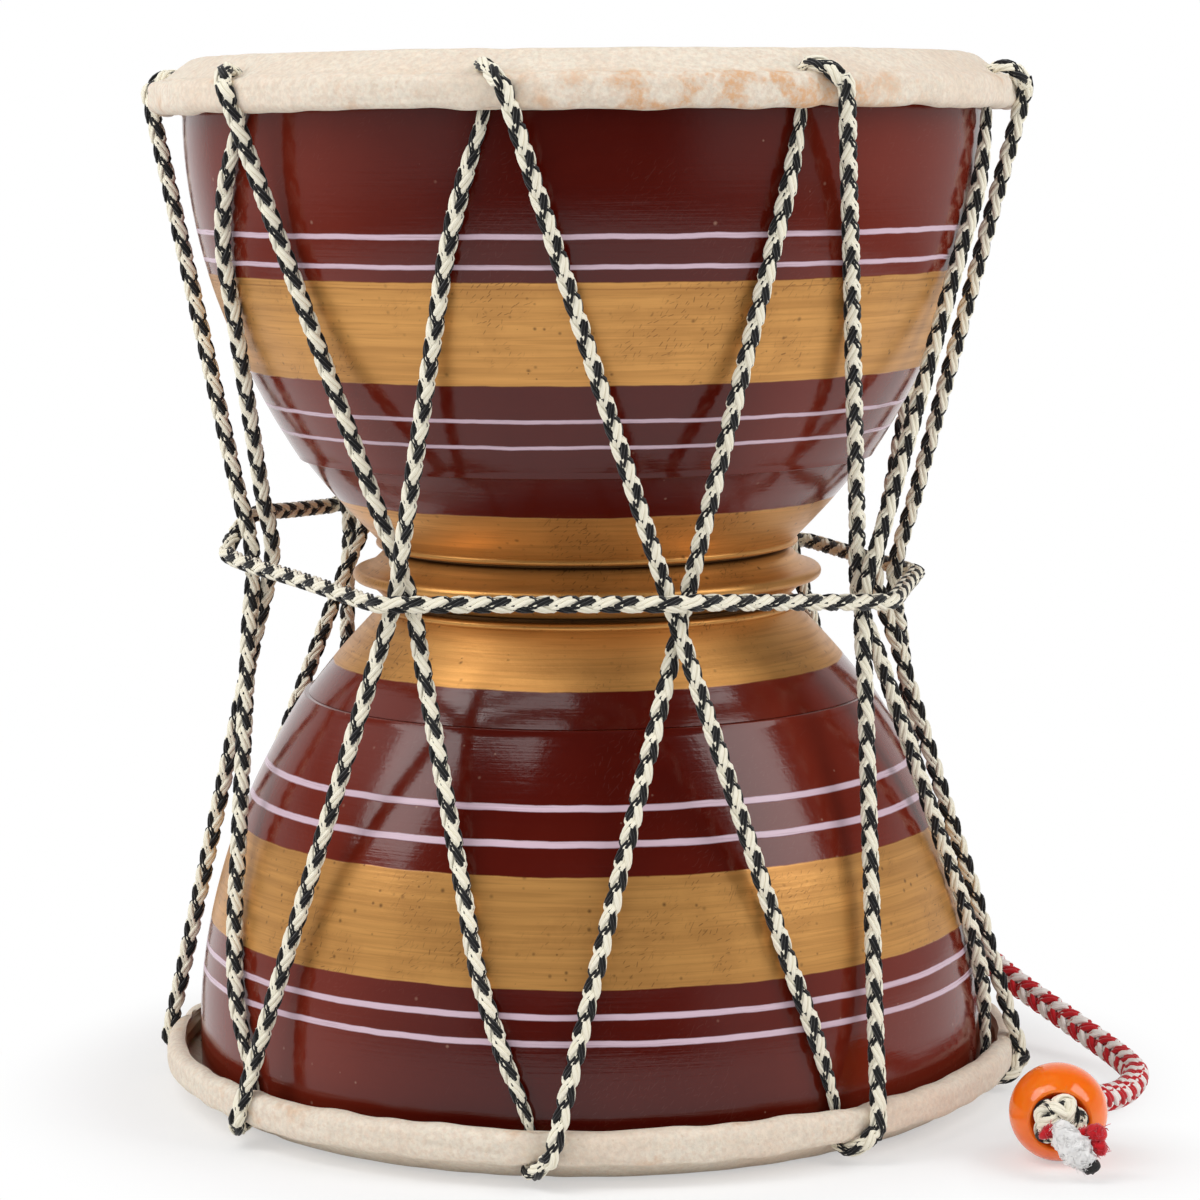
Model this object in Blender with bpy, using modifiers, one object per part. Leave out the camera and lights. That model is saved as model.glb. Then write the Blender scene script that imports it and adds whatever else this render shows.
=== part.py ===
"""Damaru: an hourglass hand drum with two laced skins and a beaded striker. Metres, +Z up.

The origin is on the surface that the drum stands on, under the middle of the lower skin.
An azimuth is in degrees: 0 is the front, at -Y, and 90 is the right side, at +X.
A depth is measured from a head's outer face towards the waist, so both heads share one design.
"""

import math

import bmesh
import bpy
from mathutils import Vector

# The whole drum
DRUM_HEIGHT = 0.2135
WAIST_HEIGHT = 0.1075
FIT_GAP = 0.0003

# How finely the pieces are made
TURNED_STEPS = 36
BOWL_STEPS = 7
HOLLOW_STEPS = 4
LIP_STEPS = 2
HOOP_STEPS = 5
WRAP_OUTER_STEPS = 6
WRAP_INNER_STEPS = 5
HOLE_STEPS = 8
LEG_STEPS = 6
OVER_ROLL_STEPS = 6
KNOT_STEPS = 12
RING_STEPS = 8
LOOP_STEPS = 18
BEAD_STEPS = 6
BEAD_TURN_STEPS = 22
DOME_STEPS = 5
SMOOTH_STEPS = 20
MERGE_DISTANCE = 0.00001

# The bowls
RIM_RADIUS = 0.0820
RIM_WALL = 0.0075
LIP_ROUND = 0.0042
LIP_CHAMFER = 0.0012
BOWL_CURVE_RISE = 0.0700
SHOULDER_RADIUS = 0.0594
SEAM_OFFSET = 0.0243

# The waist between the bowls
SPIGOT_RADIUS = 0.0500
SPIGOT_HEIGHT = 0.0080
SPIGOT_WALL = 0.0060
CONE_RADIUS = 0.0584
CONE_FOOT_RADIUS = 0.0434
NECK_RADIUS = 0.0420
NECK_OFFSET = 0.0061
GROOVE_WIDTH = 0.0022
COLLAR_RADIUS = 0.0487
COLLAR_ROUND = 0.0013
BORE_RADIUS = 0.0140
BORE_LENGTH = 0.0120

# The skins and their hoops
SKIN_THICKNESS = 0.0008
SKIN_WRAP_FROM = 103.0
SKIN_WRAP_TO = -115.0
LIP_WRAP_ANGLE = 50.0
HOOP_WIDTH = 0.0026
HOOP_HEIGHT = 0.0046
HOOP_DEPTH = 0.0079
LACING_HOLE_DIAMETER = 0.0040

# The lacing
LACE_DIAMETER = 0.0035
TUCKED_DIAMETER = 0.0024
TUCK_CLEARANCE = 0.00045
TUCK_DEPTH = 0.0120
TUCK_TAPER = 0.0100
LACE_WAIST_RADIUS = 0.0634
LACE_LAYER = 0.0040
LACING_SLANT = 3.6
OVER_ROLL_FROM = 116.0
TUCK_TOP_SHARE = 0.6
SWELL_SHARES = (0.85, 0.95)
LEAVE_ALLOWANCE = 0.0001
LACING_POINTS = 8

# Where the lacing meets the heads and crosses at the waist. The photograph shows the first five of each.
# The others share the arc at the back.
UPPER_AZIMUTHS = (-97.5, -49.8, -10.7, 30.9, 75.5)
LOWER_AZIMUTHS = (-97.0, -51.4, -6.3, 36.0, 79.0)
CROSSING_AZIMUTHS = (-84.0, -33.1, 15.6, 56.5, 93.0)
WAIST_CORD_HEIGHTS = (0.1117, 0.1083, 0.1090, 0.1056, 0.1060, 0.1075, 0.1120, 0.1170)
CROSSING_SPREADS = (-0.0007, 0.0005, -0.0023, 0.0028, 0.0005, 0.0008, -0.0006, -0.0012)
CROSSING_REACHES = (0.0020, 0.0, 0.0, 0.0, -0.0030, 0.0, 0.0, 0.0)
WAIST_FLAT = 0.0030
HITCH_CROSSING = 0
HITCH_TURNS = (-8.0, -5.0, -1.5, 2.4)
HITCH_RISES = (0.0078, 0.0052, 0.0020, 0.0)
HITCH_DRAWS = (0.0040, 0.0012, -0.0008, 0.0)

# The knots that tie the cords' ends
KNOT_OUTER_DIAMETER = 0.0088
KNOT_LENGTH = 0.0075
LACING_KNOT_SPAN = 6
LACING_KNOT_SHARE = 0.30
WAIST_KNOT_SHARE = 0.72

# The striker
STRIKER_DIAMETER = 0.0057
STRIKER_SPACING = 0.0125
LOOP_DIAMETER = 0.0038
LOOP_SPAN = 5
LOOP_SHARE = 0.36
STRIKER_ROUTE = (
    (0.0715, 154.5, 0.0905),
    (0.0760, 152.0, 0.0795),
    (0.0800, 148.5, 0.0685),
    (0.0838, 144.0, 0.0580),
    (0.0872, 138.8, 0.0475),
    (0.0900, 133.0, 0.0378),
    (0.0922, 126.5, 0.0290),
    (0.0937, 119.5, 0.0215),
    (0.0950, 112.5, 0.0160),
    (0.0975, 106.0, 0.0122),
    (0.1015, 100.5, 0.0090),
    (0.1060, 95.8, 0.0060),
    (0.1105, 91.0, 0.0036),
    (0.1130, 86.5, 0.00285),
    (0.1142, 82.0, 0.00285),
    (0.1134, 77.0, 0.0029),
    (0.1118, 72.3, 0.0034),
    (0.1098, 67.8, 0.0047),
    (0.1084, 63.4, 0.0068),
)

# The bead and what holds it on
BEAD_DIAMETER = 0.0190
BEAD_LENGTH = 0.0144
BEAD_BORE_DIAMETER = 0.0066
BEAD_MOUTH_DIAMETER = 0.0110
BEAD_MOUTH_DEPTH = 0.0034
BEAD_PLACE = (0.0904, -0.0690)
BEAD_FACING = -4.5
BEAD_LEAD_IN = 0.0050
KNOT_DOME = 0.0038
TAIL_DIAMETER = 0.0056
TAIL_TIP_SHARE = 0.62
TAIL_ROUTE = (
    (0.0, -0.0014, 0.0),
    (0.0013, -0.0030, -0.0022),
    (0.0033, -0.0042, -0.0045),
    (0.0053, -0.0048, -0.0061),
)

HEADS = {"upper": (DRUM_HEIGHT, -1), "lower": (0.0, 1)}
LIP_DEPTH = SKIN_THICKNESS + FIT_GAP
TUCK_RADIUS = RIM_RADIUS + TUCK_CLEARANCE + TUCKED_DIAMETER / 2
HOOP_RADIUS = RIM_RADIUS + 2 * TUCK_CLEARANCE + TUCKED_DIAMETER + HOOP_WIDTH / 2
WAIST_CORD_RADIUS = LACE_WAIST_RADIUS + 2 * LACE_LAYER


def at(radius, azimuth, height):
    """The point at a radius, an azimuth and a height."""
    turn = math.radians(azimuth)
    return Vector((radius * math.sin(turn), -radius * math.cos(turn), height))


def arc(centre, across, along, start, stop, steps):
    """Points (radius, depth) on an ellipse in a head's section, from one angle to another. 90 is up."""
    points = []
    for step in range(steps + 1):
        turn = math.radians(start + (stop - start) * step / steps)
        points.append((centre[0] + across * math.cos(turn), centre[1] - along * math.sin(turn)))
    return points


def all_round(front):
    """The azimuths seen from the front, and the rest evenly spaced over the arc behind."""
    behind = LACING_POINTS - len(front)
    step = (front[0] + 360 - front[-1]) / (behind + 1)
    return list(front) + [front[-1] + step * (k + 1) for k in range(behind)]


def seam_depth(head):
    face, _ = HEADS[head]
    return abs(face - WAIST_HEIGHT) - SEAM_OFFSET - FIT_GAP


def bowl_radius(head, depth):
    """The bowl's outer radius: straight under the rim, then a parabola in to the shoulder."""
    rise = seam_depth(head) - depth
    inward = min(1.0, max(0.0, 1 - rise / BOWL_CURVE_RISE))
    return RIM_RADIUS - (RIM_RADIUS - SHOULDER_RADIUS) * inward**2


def facing(head, outline):
    """An outline of radius and depth as one of radius and height that runs down its outer side."""
    face, way = HEADS[head]
    points = [(radius, face + way * depth) for radius, depth in outline]
    return points if way < 0 else points[::-1]


def clear_scene():
    for obj in list(bpy.data.objects):
        bpy.data.objects.remove(obj)


def collection(name):
    made = bpy.data.collections.new(name)
    bpy.context.scene.collection.children.link(made)
    return made


def finish_of(name, colour, roughness, metallic=0.0):
    """A plain finish: colour, roughness and metallic value."""
    material = bpy.data.materials.new(name)
    material.use_nodes = True
    shader = material.node_tree.nodes["Principled BSDF"]
    shader.inputs["Base Color"].default_value = (*colour, 1.0)
    shader.inputs["Roughness"].default_value = roughness
    shader.inputs["Metallic"].default_value = metallic
    return material


def place(obj, group, material, parent=None):
    if material:
        obj.data.materials.append(material)
    group.objects.link(obj)
    obj.parent = parent
    return obj


def turned(name, outline, closed, steps=TURNED_STEPS):
    """A piece turned about its own Z axis from an outline of radius and height."""
    mesh = bpy.data.meshes.new(name)
    count = len(outline)
    edges = [(k, k + 1) for k in range(count - 1)]
    if closed:
        edges.append((count - 1, 0))
    mesh.from_pydata([(radius, 0.0, height) for radius, height in outline], edges, [])
    obj = bpy.data.objects.new(name, mesh)
    screw = obj.modifiers.new("Turned", "SCREW")
    screw.steps = steps
    screw.render_steps = steps
    screw.use_merge_vertices = True
    screw.merge_threshold = MERGE_DISTANCE
    screw.use_smooth_shade = True
    return obj


def tube(name, points, diameter, shares=None, loop=False, resolution=1):
    """A cord along these points. A share thins or thickens it at its point."""
    curve = bpy.data.curves.new(name, "CURVE")
    curve.dimensions = "3D"
    curve.bevel_depth = diameter / 2
    curve.bevel_resolution = resolution
    curve.use_fill_caps = not loop
    spline = curve.splines.new("POLY")
    spline.points.add(len(points) - 1)
    spline.use_cyclic_u = loop
    for k, point in enumerate(points):
        spline.points[k].co = (*point, 1.0)
        spline.points[k].radius = shares[k] if shares else 1.0
    return bpy.data.objects.new(name, curve)


def smooth(route, spacing):
    """Evenly spaced points on a smooth curve through a route's own points."""
    ends = [2 * route[0] - route[1], *route, 2 * route[-1] - route[-2]]
    fine = []
    for before, start, stop, after in zip(ends, ends[1:], ends[2:], ends[3:]):
        for step in range(SMOOTH_STEPS):
            t = step / SMOOTH_STEPS
            fine.append(
                (
                    2 * start
                    + (stop - before) * t
                    + (2 * before - 5 * start + 4 * stop - after) * t**2
                    + (3 * start - before - 3 * stop + after) * t**3
                )
                / 2
            )
    fine.append(route[-1])
    run = [0.0]
    for start, stop in zip(fine, fine[1:]):
        run.append(run[-1] + (stop - start).length)
    count = max(2, round(run[-1] / spacing))
    points = []
    k = 0
    for step in range(count):
        goal = run[-1] * step / count
        while run[k + 1] < goal:
            k += 1
        share = (goal - run[k]) / (run[k + 1] - run[k])
        points.append(fine[k].lerp(fine[k + 1], share))
    return [*points, route[-1]]


def bowl_outline(head):
    """One closed wall: lip, outside, seam face, socket for the spigot, and the hollow inside."""
    seam = seam_depth(head)
    lip_centre = (RIM_RADIUS - LIP_ROUND, LIP_DEPTH + LIP_ROUND)
    outline = arc(lip_centre, LIP_ROUND, LIP_ROUND, 90, 0, LIP_STEPS)
    for step in range(BOWL_STEPS + 1):
        depth = seam - BOWL_CURVE_RISE * (1 - step / BOWL_STEPS)
        outline.append((bowl_radius(head, depth), depth))
    socket = SPIGOT_RADIUS + FIT_GAP
    floor = seam - SPIGOT_HEIGHT - FIT_GAP
    inner_rim = RIM_RADIUS - RIM_WALL
    outline += [(socket, seam), (socket, floor)]
    hollow = BOWL_CURVE_RISE - SPIGOT_HEIGHT
    for step in range(1, HOLLOW_STEPS + 1):
        outward = step / HOLLOW_STEPS
        outline.append((inner_rim - (inner_rim - socket) * (1 - outward) ** 2, floor - hollow * outward))
    outline += [(inner_rim, LIP_DEPTH + LIP_CHAMFER), (inner_rim + LIP_CHAMFER, LIP_DEPTH)]
    return facing(head, outline)


def spool_outline():
    """Spigot, cone, groove and collar, mirrored below the waist, with the bore flaring to both ends."""
    end = SEAM_OFFSET + SPIGOT_HEIGHT
    upper = [
        (SPIGOT_RADIUS, end),
        (SPIGOT_RADIUS, SEAM_OFFSET),
        (CONE_RADIUS, SEAM_OFFSET),
        (CONE_FOOT_RADIUS, NECK_OFFSET + GROOVE_WIDTH / 2),
        (NECK_RADIUS, NECK_OFFSET),
        (NECK_RADIUS, NECK_OFFSET - GROOVE_WIDTH / 2),
        (COLLAR_RADIUS - COLLAR_ROUND, COLLAR_ROUND),
        (COLLAR_RADIUS, 0.0),
    ]
    lower = [(radius, -height) for radius, height in upper[-2::-1]]
    flare = SPIGOT_RADIUS - SPIGOT_WALL
    bore = [(flare, -end), (BORE_RADIUS, -BORE_LENGTH / 2), (BORE_RADIUS, BORE_LENGTH / 2), (flare, end)]
    return upper + lower + bore


def hoop_outline(head):
    """An oval section, round which the skin is rolled."""
    stop = 90 - 360 * HOOP_STEPS / (HOOP_STEPS + 1)
    section = arc((HOOP_RADIUS, HOOP_DEPTH), HOOP_WIDTH / 2, HOOP_HEIGHT / 2, 90, stop, HOOP_STEPS)
    return facing(head, section)


def skin_outline(head):
    """Flat head, bent over the lip, down to the hoop, over it, and under it to the cut edge inside."""
    lip_centre = (RIM_RADIUS - LIP_ROUND, LIP_DEPTH + LIP_ROUND)
    hoop_centre = (HOOP_RADIUS, HOOP_DEPTH)
    wide = HOOP_WIDTH / 2 + FIT_GAP
    tall = HOOP_HEIGHT / 2 + FIT_GAP
    over = LIP_ROUND + FIT_GAP
    outer = arc(lip_centre, over + SKIN_THICKNESS, over + SKIN_THICKNESS, 90, LIP_WRAP_ANGLE, LIP_STEPS)
    outer += arc(
        hoop_centre,
        wide + SKIN_THICKNESS,
        tall + SKIN_THICKNESS,
        SKIN_WRAP_FROM,
        SKIN_WRAP_TO,
        WRAP_OUTER_STEPS,
    )
    inner = arc(hoop_centre, wide, tall, SKIN_WRAP_TO, SKIN_WRAP_FROM, WRAP_INNER_STEPS)
    inner += arc(lip_centre, over, over, LIP_WRAP_ANGLE, 90, LIP_STEPS)
    return facing(head, [(0.0, 0.0), *outer, *inner, (0.0, SKIN_THICKNESS)])


def lacing_holes(name, head, azimuths, group):
    """The cutter for one skin: a punch at each lacing point, through the slope between lip and hoop."""
    face, way = HEADS[head]
    radius = (RIM_RADIUS + HOOP_RADIUS - HOOP_WIDTH / 2) / 2 + FIT_GAP
    reach = HOOP_DEPTH
    mesh = bpy.data.meshes.new(name)
    punches = bmesh.new()
    for azimuth in azimuths:
        made = bmesh.ops.create_cone(
            punches,
            cap_ends=True,
            segments=HOLE_STEPS,
            radius1=LACING_HOLE_DIAMETER / 2,
            radius2=LACING_HOLE_DIAMETER / 2,
            depth=reach,
        )
        hole = azimuth - LACING_SLANT / 2
        middle = at(radius, hole, face + way * (reach / 2 - LIP_DEPTH))
        bmesh.ops.translate(punches, verts=made["verts"], vec=middle)
    punches.to_mesh(mesh)
    punches.free()
    cutter = bpy.data.objects.new(name, mesh)
    cutter.hide_render = True
    cutter.display_type = "WIRE"
    group.objects.link(cutter)
    return cutter


def punch(skin, cutter):
    hole = skin.modifiers.new("Lacing holes", "BOOLEAN")
    hole.operation = "DIFFERENCE"
    hole.solver = "EXACT"
    hole.object = cutter


def rim_turn(head, azimuth):
    """The cord's way at a head: up inside the hoop, out of its hole and slanting over the rolled edge."""
    face, way = HEADS[head]
    hole = azimuth - LACING_SLANT / 2
    reach = 2 * FIT_GAP + SKIN_THICKNESS + LACE_DIAMETER / 2
    across = HOOP_WIDTH / 2 + reach
    along = HOOP_HEIGHT / 2 + reach
    points = [at(TUCK_RADIUS, hole, face + way * share * HOOP_DEPTH) for share in (1.0, TUCK_TOP_SHARE)]
    points.insert(0, at(TUCK_RADIUS, hole, face + way * TUCK_DEPTH))
    over = arc((HOOP_RADIUS, HOOP_DEPTH), across, along, OVER_ROLL_FROM, 0, OVER_ROLL_STEPS)
    for step, (radius, depth) in enumerate(over):
        slant = LACING_SLANT * max(0, step - 1) / (OVER_ROLL_STEPS - 1)
        points.append(at(radius, hole + slant, face + way * depth))
    shares = [TUCKED_DIAMETER / LACE_DIAMETER] * (len(points) - OVER_ROLL_STEPS + 1)
    shares += SWELL_SHARES
    return points, shares + [1.0] * (len(points) - len(shares))


def beside_bowl(head, depth, share):
    """The least radius of a cord's middle where it passes a bowl."""
    return bowl_radius(head, depth) + FIT_GAP + share * LACE_DIAMETER / 2


def clear_of_bowl(head, points, shares):
    """True where a straight run of cord lies outside the bowl."""
    face, _ = HEADS[head]
    for point, share in zip(points, shares):
        depth = abs(face - point.z)
        room = beside_bowl(head, depth, share) - LEAVE_ALLOWANCE
        if depth < seam_depth(head) and math.hypot(point.x, point.y) < room:
            return False
    return True


def free_leg(head, start, bend):
    """From over a rim to the waist, straight unless the bowl's side holds it out."""
    face, _ = HEADS[head]
    points = []
    for step in range(1, LEG_STEPS):
        point = start.lerp(bend, step / LEG_STEPS)
        depth = abs(face - point.z)
        radius = math.hypot(point.x, point.y)
        if depth < seam_depth(head):
            out = max(radius, beside_bowl(head, depth, 1.0)) / radius
            point = Vector((point.x * out, point.y * out, point.z))
        points.append(point)
    return points


def tucked_leg(head, azimuth, bend, bend_azimuth):
    """From the waist to a rim, straight first and then along the bowl's side into the tuck."""
    face, way = HEADS[head]
    bend_depth = abs(face - bend.z)
    tucked = TUCKED_DIAMETER / LACE_DIAMETER
    points = []
    shares = []
    for step in range(1, LEG_STEPS + 1):
        depth = TUCK_DEPTH + (bend_depth - TUCK_DEPTH) * step / (LEG_STEPS + 1)
        share = min(1.0, tucked + (1 - tucked) * (depth - TUCK_DEPTH) / TUCK_TAPER)
        turn = azimuth + (bend_azimuth - azimuth) * step / (LEG_STEPS + 1)
        points.append(at(beside_bowl(head, depth, share), turn, face + way * depth))
        shares.append(share)
    for leave in range(LEG_STEPS):
        rest = LEG_STEPS - leave
        straight = [points[leave].lerp(bend, k / rest) for k in range(1, rest)]
        if clear_of_bowl(head, straight, shares[leave + 1 :]):
            points[leave + 1 :] = straight
            break
    return points[::-1], shares[: len(points)][::-1]


def lacing_round(first_is_upper, radius):
    """One round of the lacing: every second point of each head, always onwards to the right."""
    azimuths = {"upper": all_round(UPPER_AZIMUTHS), "lower": all_round(LOWER_AZIMUTHS)}
    crossings = all_round(CROSSING_AZIMUTHS)
    points = []
    shares = []
    bends = []
    for index in range(LACING_POINTS):
        here, there = ("upper", "lower") if (index % 2 == 0) == first_is_upper else ("lower", "upper")
        follow = (index + 1) % LACING_POINTS
        lap = 360 if follow == 0 else 0
        turn_points, turn_shares = rim_turn(here, azimuths[here][index])
        spread = math.degrees(CROSSING_SPREADS[index] / radius)
        bend_azimuth = crossings[index] + (spread if here == "upper" else -spread)
        bend = at(radius + CROSSING_REACHES[index], bend_azimuth, WAIST_CORD_HEIGHTS[index])
        free = free_leg(here, turn_points[-1], bend)
        goal = azimuths[there][follow] + lap - LACING_SLANT / 2
        leg_points, leg_shares = tucked_leg(there, goal, bend, bend_azimuth)
        points += [*turn_points, *free, bend, *leg_points]
        shares += [*turn_shares, *[1.0] * len(free), 1.0, *leg_shares]
        bends.append((bend, leg_points[0]))
    return points, shares, bends


def waist_corners():
    """The waist cord's corners at each crossing: two, so that it lies flat over both legs.

    At its hitch the cord comes from behind the legs and drops as it goes round them.
    """
    corners = []
    half = math.degrees(WAIST_FLAT / WAIST_CORD_RADIUS)
    for index, azimuth in enumerate(all_round(CROSSING_AZIMUTHS)):
        radius = WAIST_CORD_RADIUS + CROSSING_REACHES[index]
        height = WAIST_CORD_HEIGHTS[index]
        bends = [(-half, 0.0, 0.0), (half, 0.0, 0.0)]
        if index == HITCH_CROSSING:
            bends = zip(HITCH_TURNS, HITCH_RISES, HITCH_DRAWS)
        corners.append([at(radius - draw, azimuth + turn, height + rise) for turn, rise, draw in bends])
    return corners


def knot(name, centre, direction):
    """A knot drawn tight round its cord, as a thick ring with an oval section."""
    hole = LACE_DIAMETER / 2 + FIT_GAP
    outer = KNOT_OUTER_DIAMETER / 2
    section = []
    for step in range(RING_STEPS):
        turn = math.radians(90 - 360 * step / RING_STEPS)
        across = (hole + outer) / 2 + (outer - hole) / 2 * math.cos(turn)
        section.append((across, KNOT_LENGTH / 2 * math.sin(turn)))
    obj = turned(name, section, True, KNOT_STEPS)
    obj.location = centre
    obj.rotation_mode = "QUATERNION"
    obj.rotation_quaternion = direction.to_track_quat("Z", "Y")
    return obj


def striker_loop(centre, direction):
    """The striker's hitch round the waist cord, as a plain ring of cord."""
    ring = LACE_DIAMETER / 2 + FIT_GAP + LOOP_DIAMETER / 2
    section = []
    for step in range(RING_STEPS):
        turn = math.radians(90 - 360 * step / RING_STEPS)
        section.append((ring + LOOP_DIAMETER / 2 * math.cos(turn), LOOP_DIAMETER / 2 * math.sin(turn)))
    obj = turned("striker_loop", section, True, LOOP_STEPS)
    obj.rotation_mode = "QUATERNION"
    obj.rotation_quaternion = direction.to_track_quat("Z", "Y")
    obj.location = centre
    return obj


def bead_outline():
    """A round bead cut flat at both ends, with a bore that flares into each mouth."""
    radius = BEAD_DIAMETER / 2
    half = BEAD_LENGTH / 2
    outline = []
    for step in range(BEAD_STEPS + 1):
        height = half * math.cos(math.pi * step / BEAD_STEPS)
        outline.append((math.sqrt(radius**2 - height**2), height))
    bore = BEAD_BORE_DIAMETER / 2
    mouth = BEAD_MOUTH_DIAMETER / 2
    inside = half - BEAD_MOUTH_DEPTH
    return outline + [(mouth, -half), (bore, -inside), (bore, inside), (mouth, half)]


def stopper_outline():
    """A knot that fills the bead's front mouth and bulges out of it. Heights are from the bead's middle."""
    half = BEAD_LENGTH / 2
    mouth = BEAD_MOUTH_DIAMETER / 2 - 2 * FIT_GAP
    seat = half - BEAD_MOUTH_DEPTH
    throat = BEAD_BORE_DIAMETER / 2 - 2 * FIT_GAP
    dome = []
    for step in range(DOME_STEPS + 1):
        turn = math.radians(90 - 90 * step / DOME_STEPS)
        dome.append((mouth * math.cos(turn), half + KNOT_DOME * math.sin(turn)))
    return [*dome, (throat, seat + FIT_GAP), (0.0, seat + FIT_GAP)]


def build():
    clear_scene()
    parts = collection("Damaru")
    cutters = collection("Cutters")
    drum = bpy.data.objects.new("drum_frame", None)
    parts.objects.link(drum)

    lacquer = finish_of("maroon lacquer", (0.165, 0.022, 0.022), 0.22)
    gilt = finish_of("gold paint", (0.52, 0.30, 0.07), 0.38, 0.6)
    hide = finish_of("goat skin", (0.83, 0.71, 0.57), 0.75)
    cane = finish_of("cane", (0.62, 0.45, 0.24), 0.6)
    lace = finish_of("black and cream braid", (0.42, 0.39, 0.33), 0.85)
    braid = finish_of("red and white braid", (0.62, 0.20, 0.20), 0.85)
    orange = finish_of("orange plastic", (1.0, 0.22, 0.01), 0.15)
    cotton = finish_of("white cotton", (0.86, 0.84, 0.82), 0.9)

    spool = turned("waist_spool", spool_outline(), True)
    spool.location.z = WAIST_HEIGHT
    place(spool, parts, gilt, drum)
    for head, front in (("upper", UPPER_AZIMUTHS), ("lower", LOWER_AZIMUTHS)):
        place(turned(head + "_bowl", bowl_outline(head), True), parts, lacquer, drum)
        place(turned(head + "_hoop", hoop_outline(head), True), parts, cane, drum)
        skin = place(turned(head + "_skin", skin_outline(head), False), parts, hide, drum)
        punch(skin, lacing_holes(head + "_lacing_holes", head, all_round(front), cutters))

    for name, first_is_upper, layer in (("first", False, 0), ("second", True, 1)):
        radius = LACE_WAIST_RADIUS + layer * LACE_LAYER
        points, shares, bends = lacing_round(first_is_upper, radius)
        place(tube(f"lacing_{name}_round", points, LACE_DIAMETER, shares, True), parts, lace, drum)
        start, stop = bends[LACING_KNOT_SPAN]
        tied = start.lerp(stop, 1 + LACING_KNOT_SHARE)
        place(knot(f"lacing_{name}_knot", tied, stop - start), parts, lace, drum)

    corners = waist_corners()
    loop = []
    for here, there in zip(corners, corners[1:] + corners[:1]):
        loop += [*here, here[-1].lerp(there[0], 0.5)]
    place(tube("waist_cord", loop, LACE_DIAMETER, None, True), parts, lace, drum)
    start = corners[LOOP_SPAN][-1]
    stop = corners[LOOP_SPAN + 1][0]
    tied = start.lerp(stop, WAIST_KNOT_SHARE)
    place(knot("waist_cord_knot", tied, stop - start), parts, lace, drum)

    hinge = start.lerp(stop, LOOP_SHARE)
    tie = bpy.data.objects.new("striker_tie", None)
    tie.location = hinge
    parts.objects.link(tie)
    place(striker_loop(Vector(), stop - start), parts, braid, tie)

    axis = at(1.0, BEAD_FACING, 0.0)
    middle = Vector((*BEAD_PLACE, BEAD_DIAMETER / 2))
    half = BEAD_LENGTH / 2
    drop = LACE_DIAMETER / 2 + 2 * FIT_GAP + LOOP_DIAMETER
    route = [hinge - Vector((0, 0, drop)), hinge - Vector((0, 0, drop + STRIKER_DIAMETER))]
    route += [at(*point) for point in STRIKER_ROUTE]
    route += [middle - axis * (half + BEAD_LEAD_IN), middle - axis * half]
    route.append(middle + axis * (half - BEAD_MOUTH_DEPTH))
    points = smooth(route, STRIKER_SPACING)
    length = sum((stop - start).length for start, stop in zip(points, points[1:]))
    print(f"striker cord length {length:.4f} m, hinge at {tuple(round(v, 5) for v in hinge)}")
    print(f"waist cord beside it runs along {tuple(round(v, 4) for v in (start - stop).normalized())}")
    local = [point - hinge for point in points]
    place(tube("striker_cord", local, STRIKER_DIAMETER, None, False, 2), parts, braid, tie)

    turn = axis.to_track_quat("Z", "Y")
    for obj, material in (
        (turned("bead", bead_outline(), True, BEAD_TURN_STEPS), orange),
        (turned("stopper_knot", stopper_outline(), False, KNOT_STEPS), lace),
    ):
        obj.location = middle - hinge
        obj.rotation_mode = "QUATERNION"
        obj.rotation_quaternion = turn
        place(obj, parts, material, tie)
    tail = [middle - hinge + axis * (half + KNOT_DOME + FIT_GAP)]
    tail += [tail[0] + Vector(point) for point in TAIL_ROUTE]
    frayed = [1.0] * len(TAIL_ROUTE) + [TAIL_TIP_SHARE]
    place(tube("striker_tail", tail, TAIL_DIAMETER, frayed, False, 2), parts, cotton, tie)


build()
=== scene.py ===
"""The looks of a damaru: turned and painted wood, goat skins, braided lacing, and a beaded striker.

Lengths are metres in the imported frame, +Z up, with the origin under the middle of the lower skin.
An azimuth is in degrees: 0 is the front, at -Y, and 90 is the right side, at +X.
A depth is measured from a head's outer face towards the waist, so both heads share one design.
"""

import functools
import math

import bpy
import numpy as np
from bpy.props import FloatProperty, FloatVectorProperty, PointerProperty
from mathutils import Matrix, Vector


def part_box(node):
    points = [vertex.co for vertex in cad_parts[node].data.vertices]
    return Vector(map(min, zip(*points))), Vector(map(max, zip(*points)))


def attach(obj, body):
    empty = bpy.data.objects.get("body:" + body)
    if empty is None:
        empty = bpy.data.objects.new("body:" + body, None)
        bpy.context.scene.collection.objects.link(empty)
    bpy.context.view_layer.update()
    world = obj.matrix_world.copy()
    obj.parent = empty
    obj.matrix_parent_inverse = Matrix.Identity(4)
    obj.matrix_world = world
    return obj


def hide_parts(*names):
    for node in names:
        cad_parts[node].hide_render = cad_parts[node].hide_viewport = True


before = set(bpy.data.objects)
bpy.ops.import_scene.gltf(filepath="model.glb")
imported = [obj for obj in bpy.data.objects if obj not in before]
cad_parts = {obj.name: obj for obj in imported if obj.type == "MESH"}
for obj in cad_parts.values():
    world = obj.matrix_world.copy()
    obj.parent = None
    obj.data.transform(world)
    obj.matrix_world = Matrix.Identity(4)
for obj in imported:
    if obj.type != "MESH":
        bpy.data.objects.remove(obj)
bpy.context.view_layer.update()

bl_info = {
    "name": "Damaru",
    "version": (1, 0, 0),
    "blender": (4, 5, 0),
    "location": "View3D > Sidebar > Damaru",
    "description": "Dresses the damaru's frame in wood, hide, braid and a beaded striker",
    "category": "Add Mesh",
}

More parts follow.
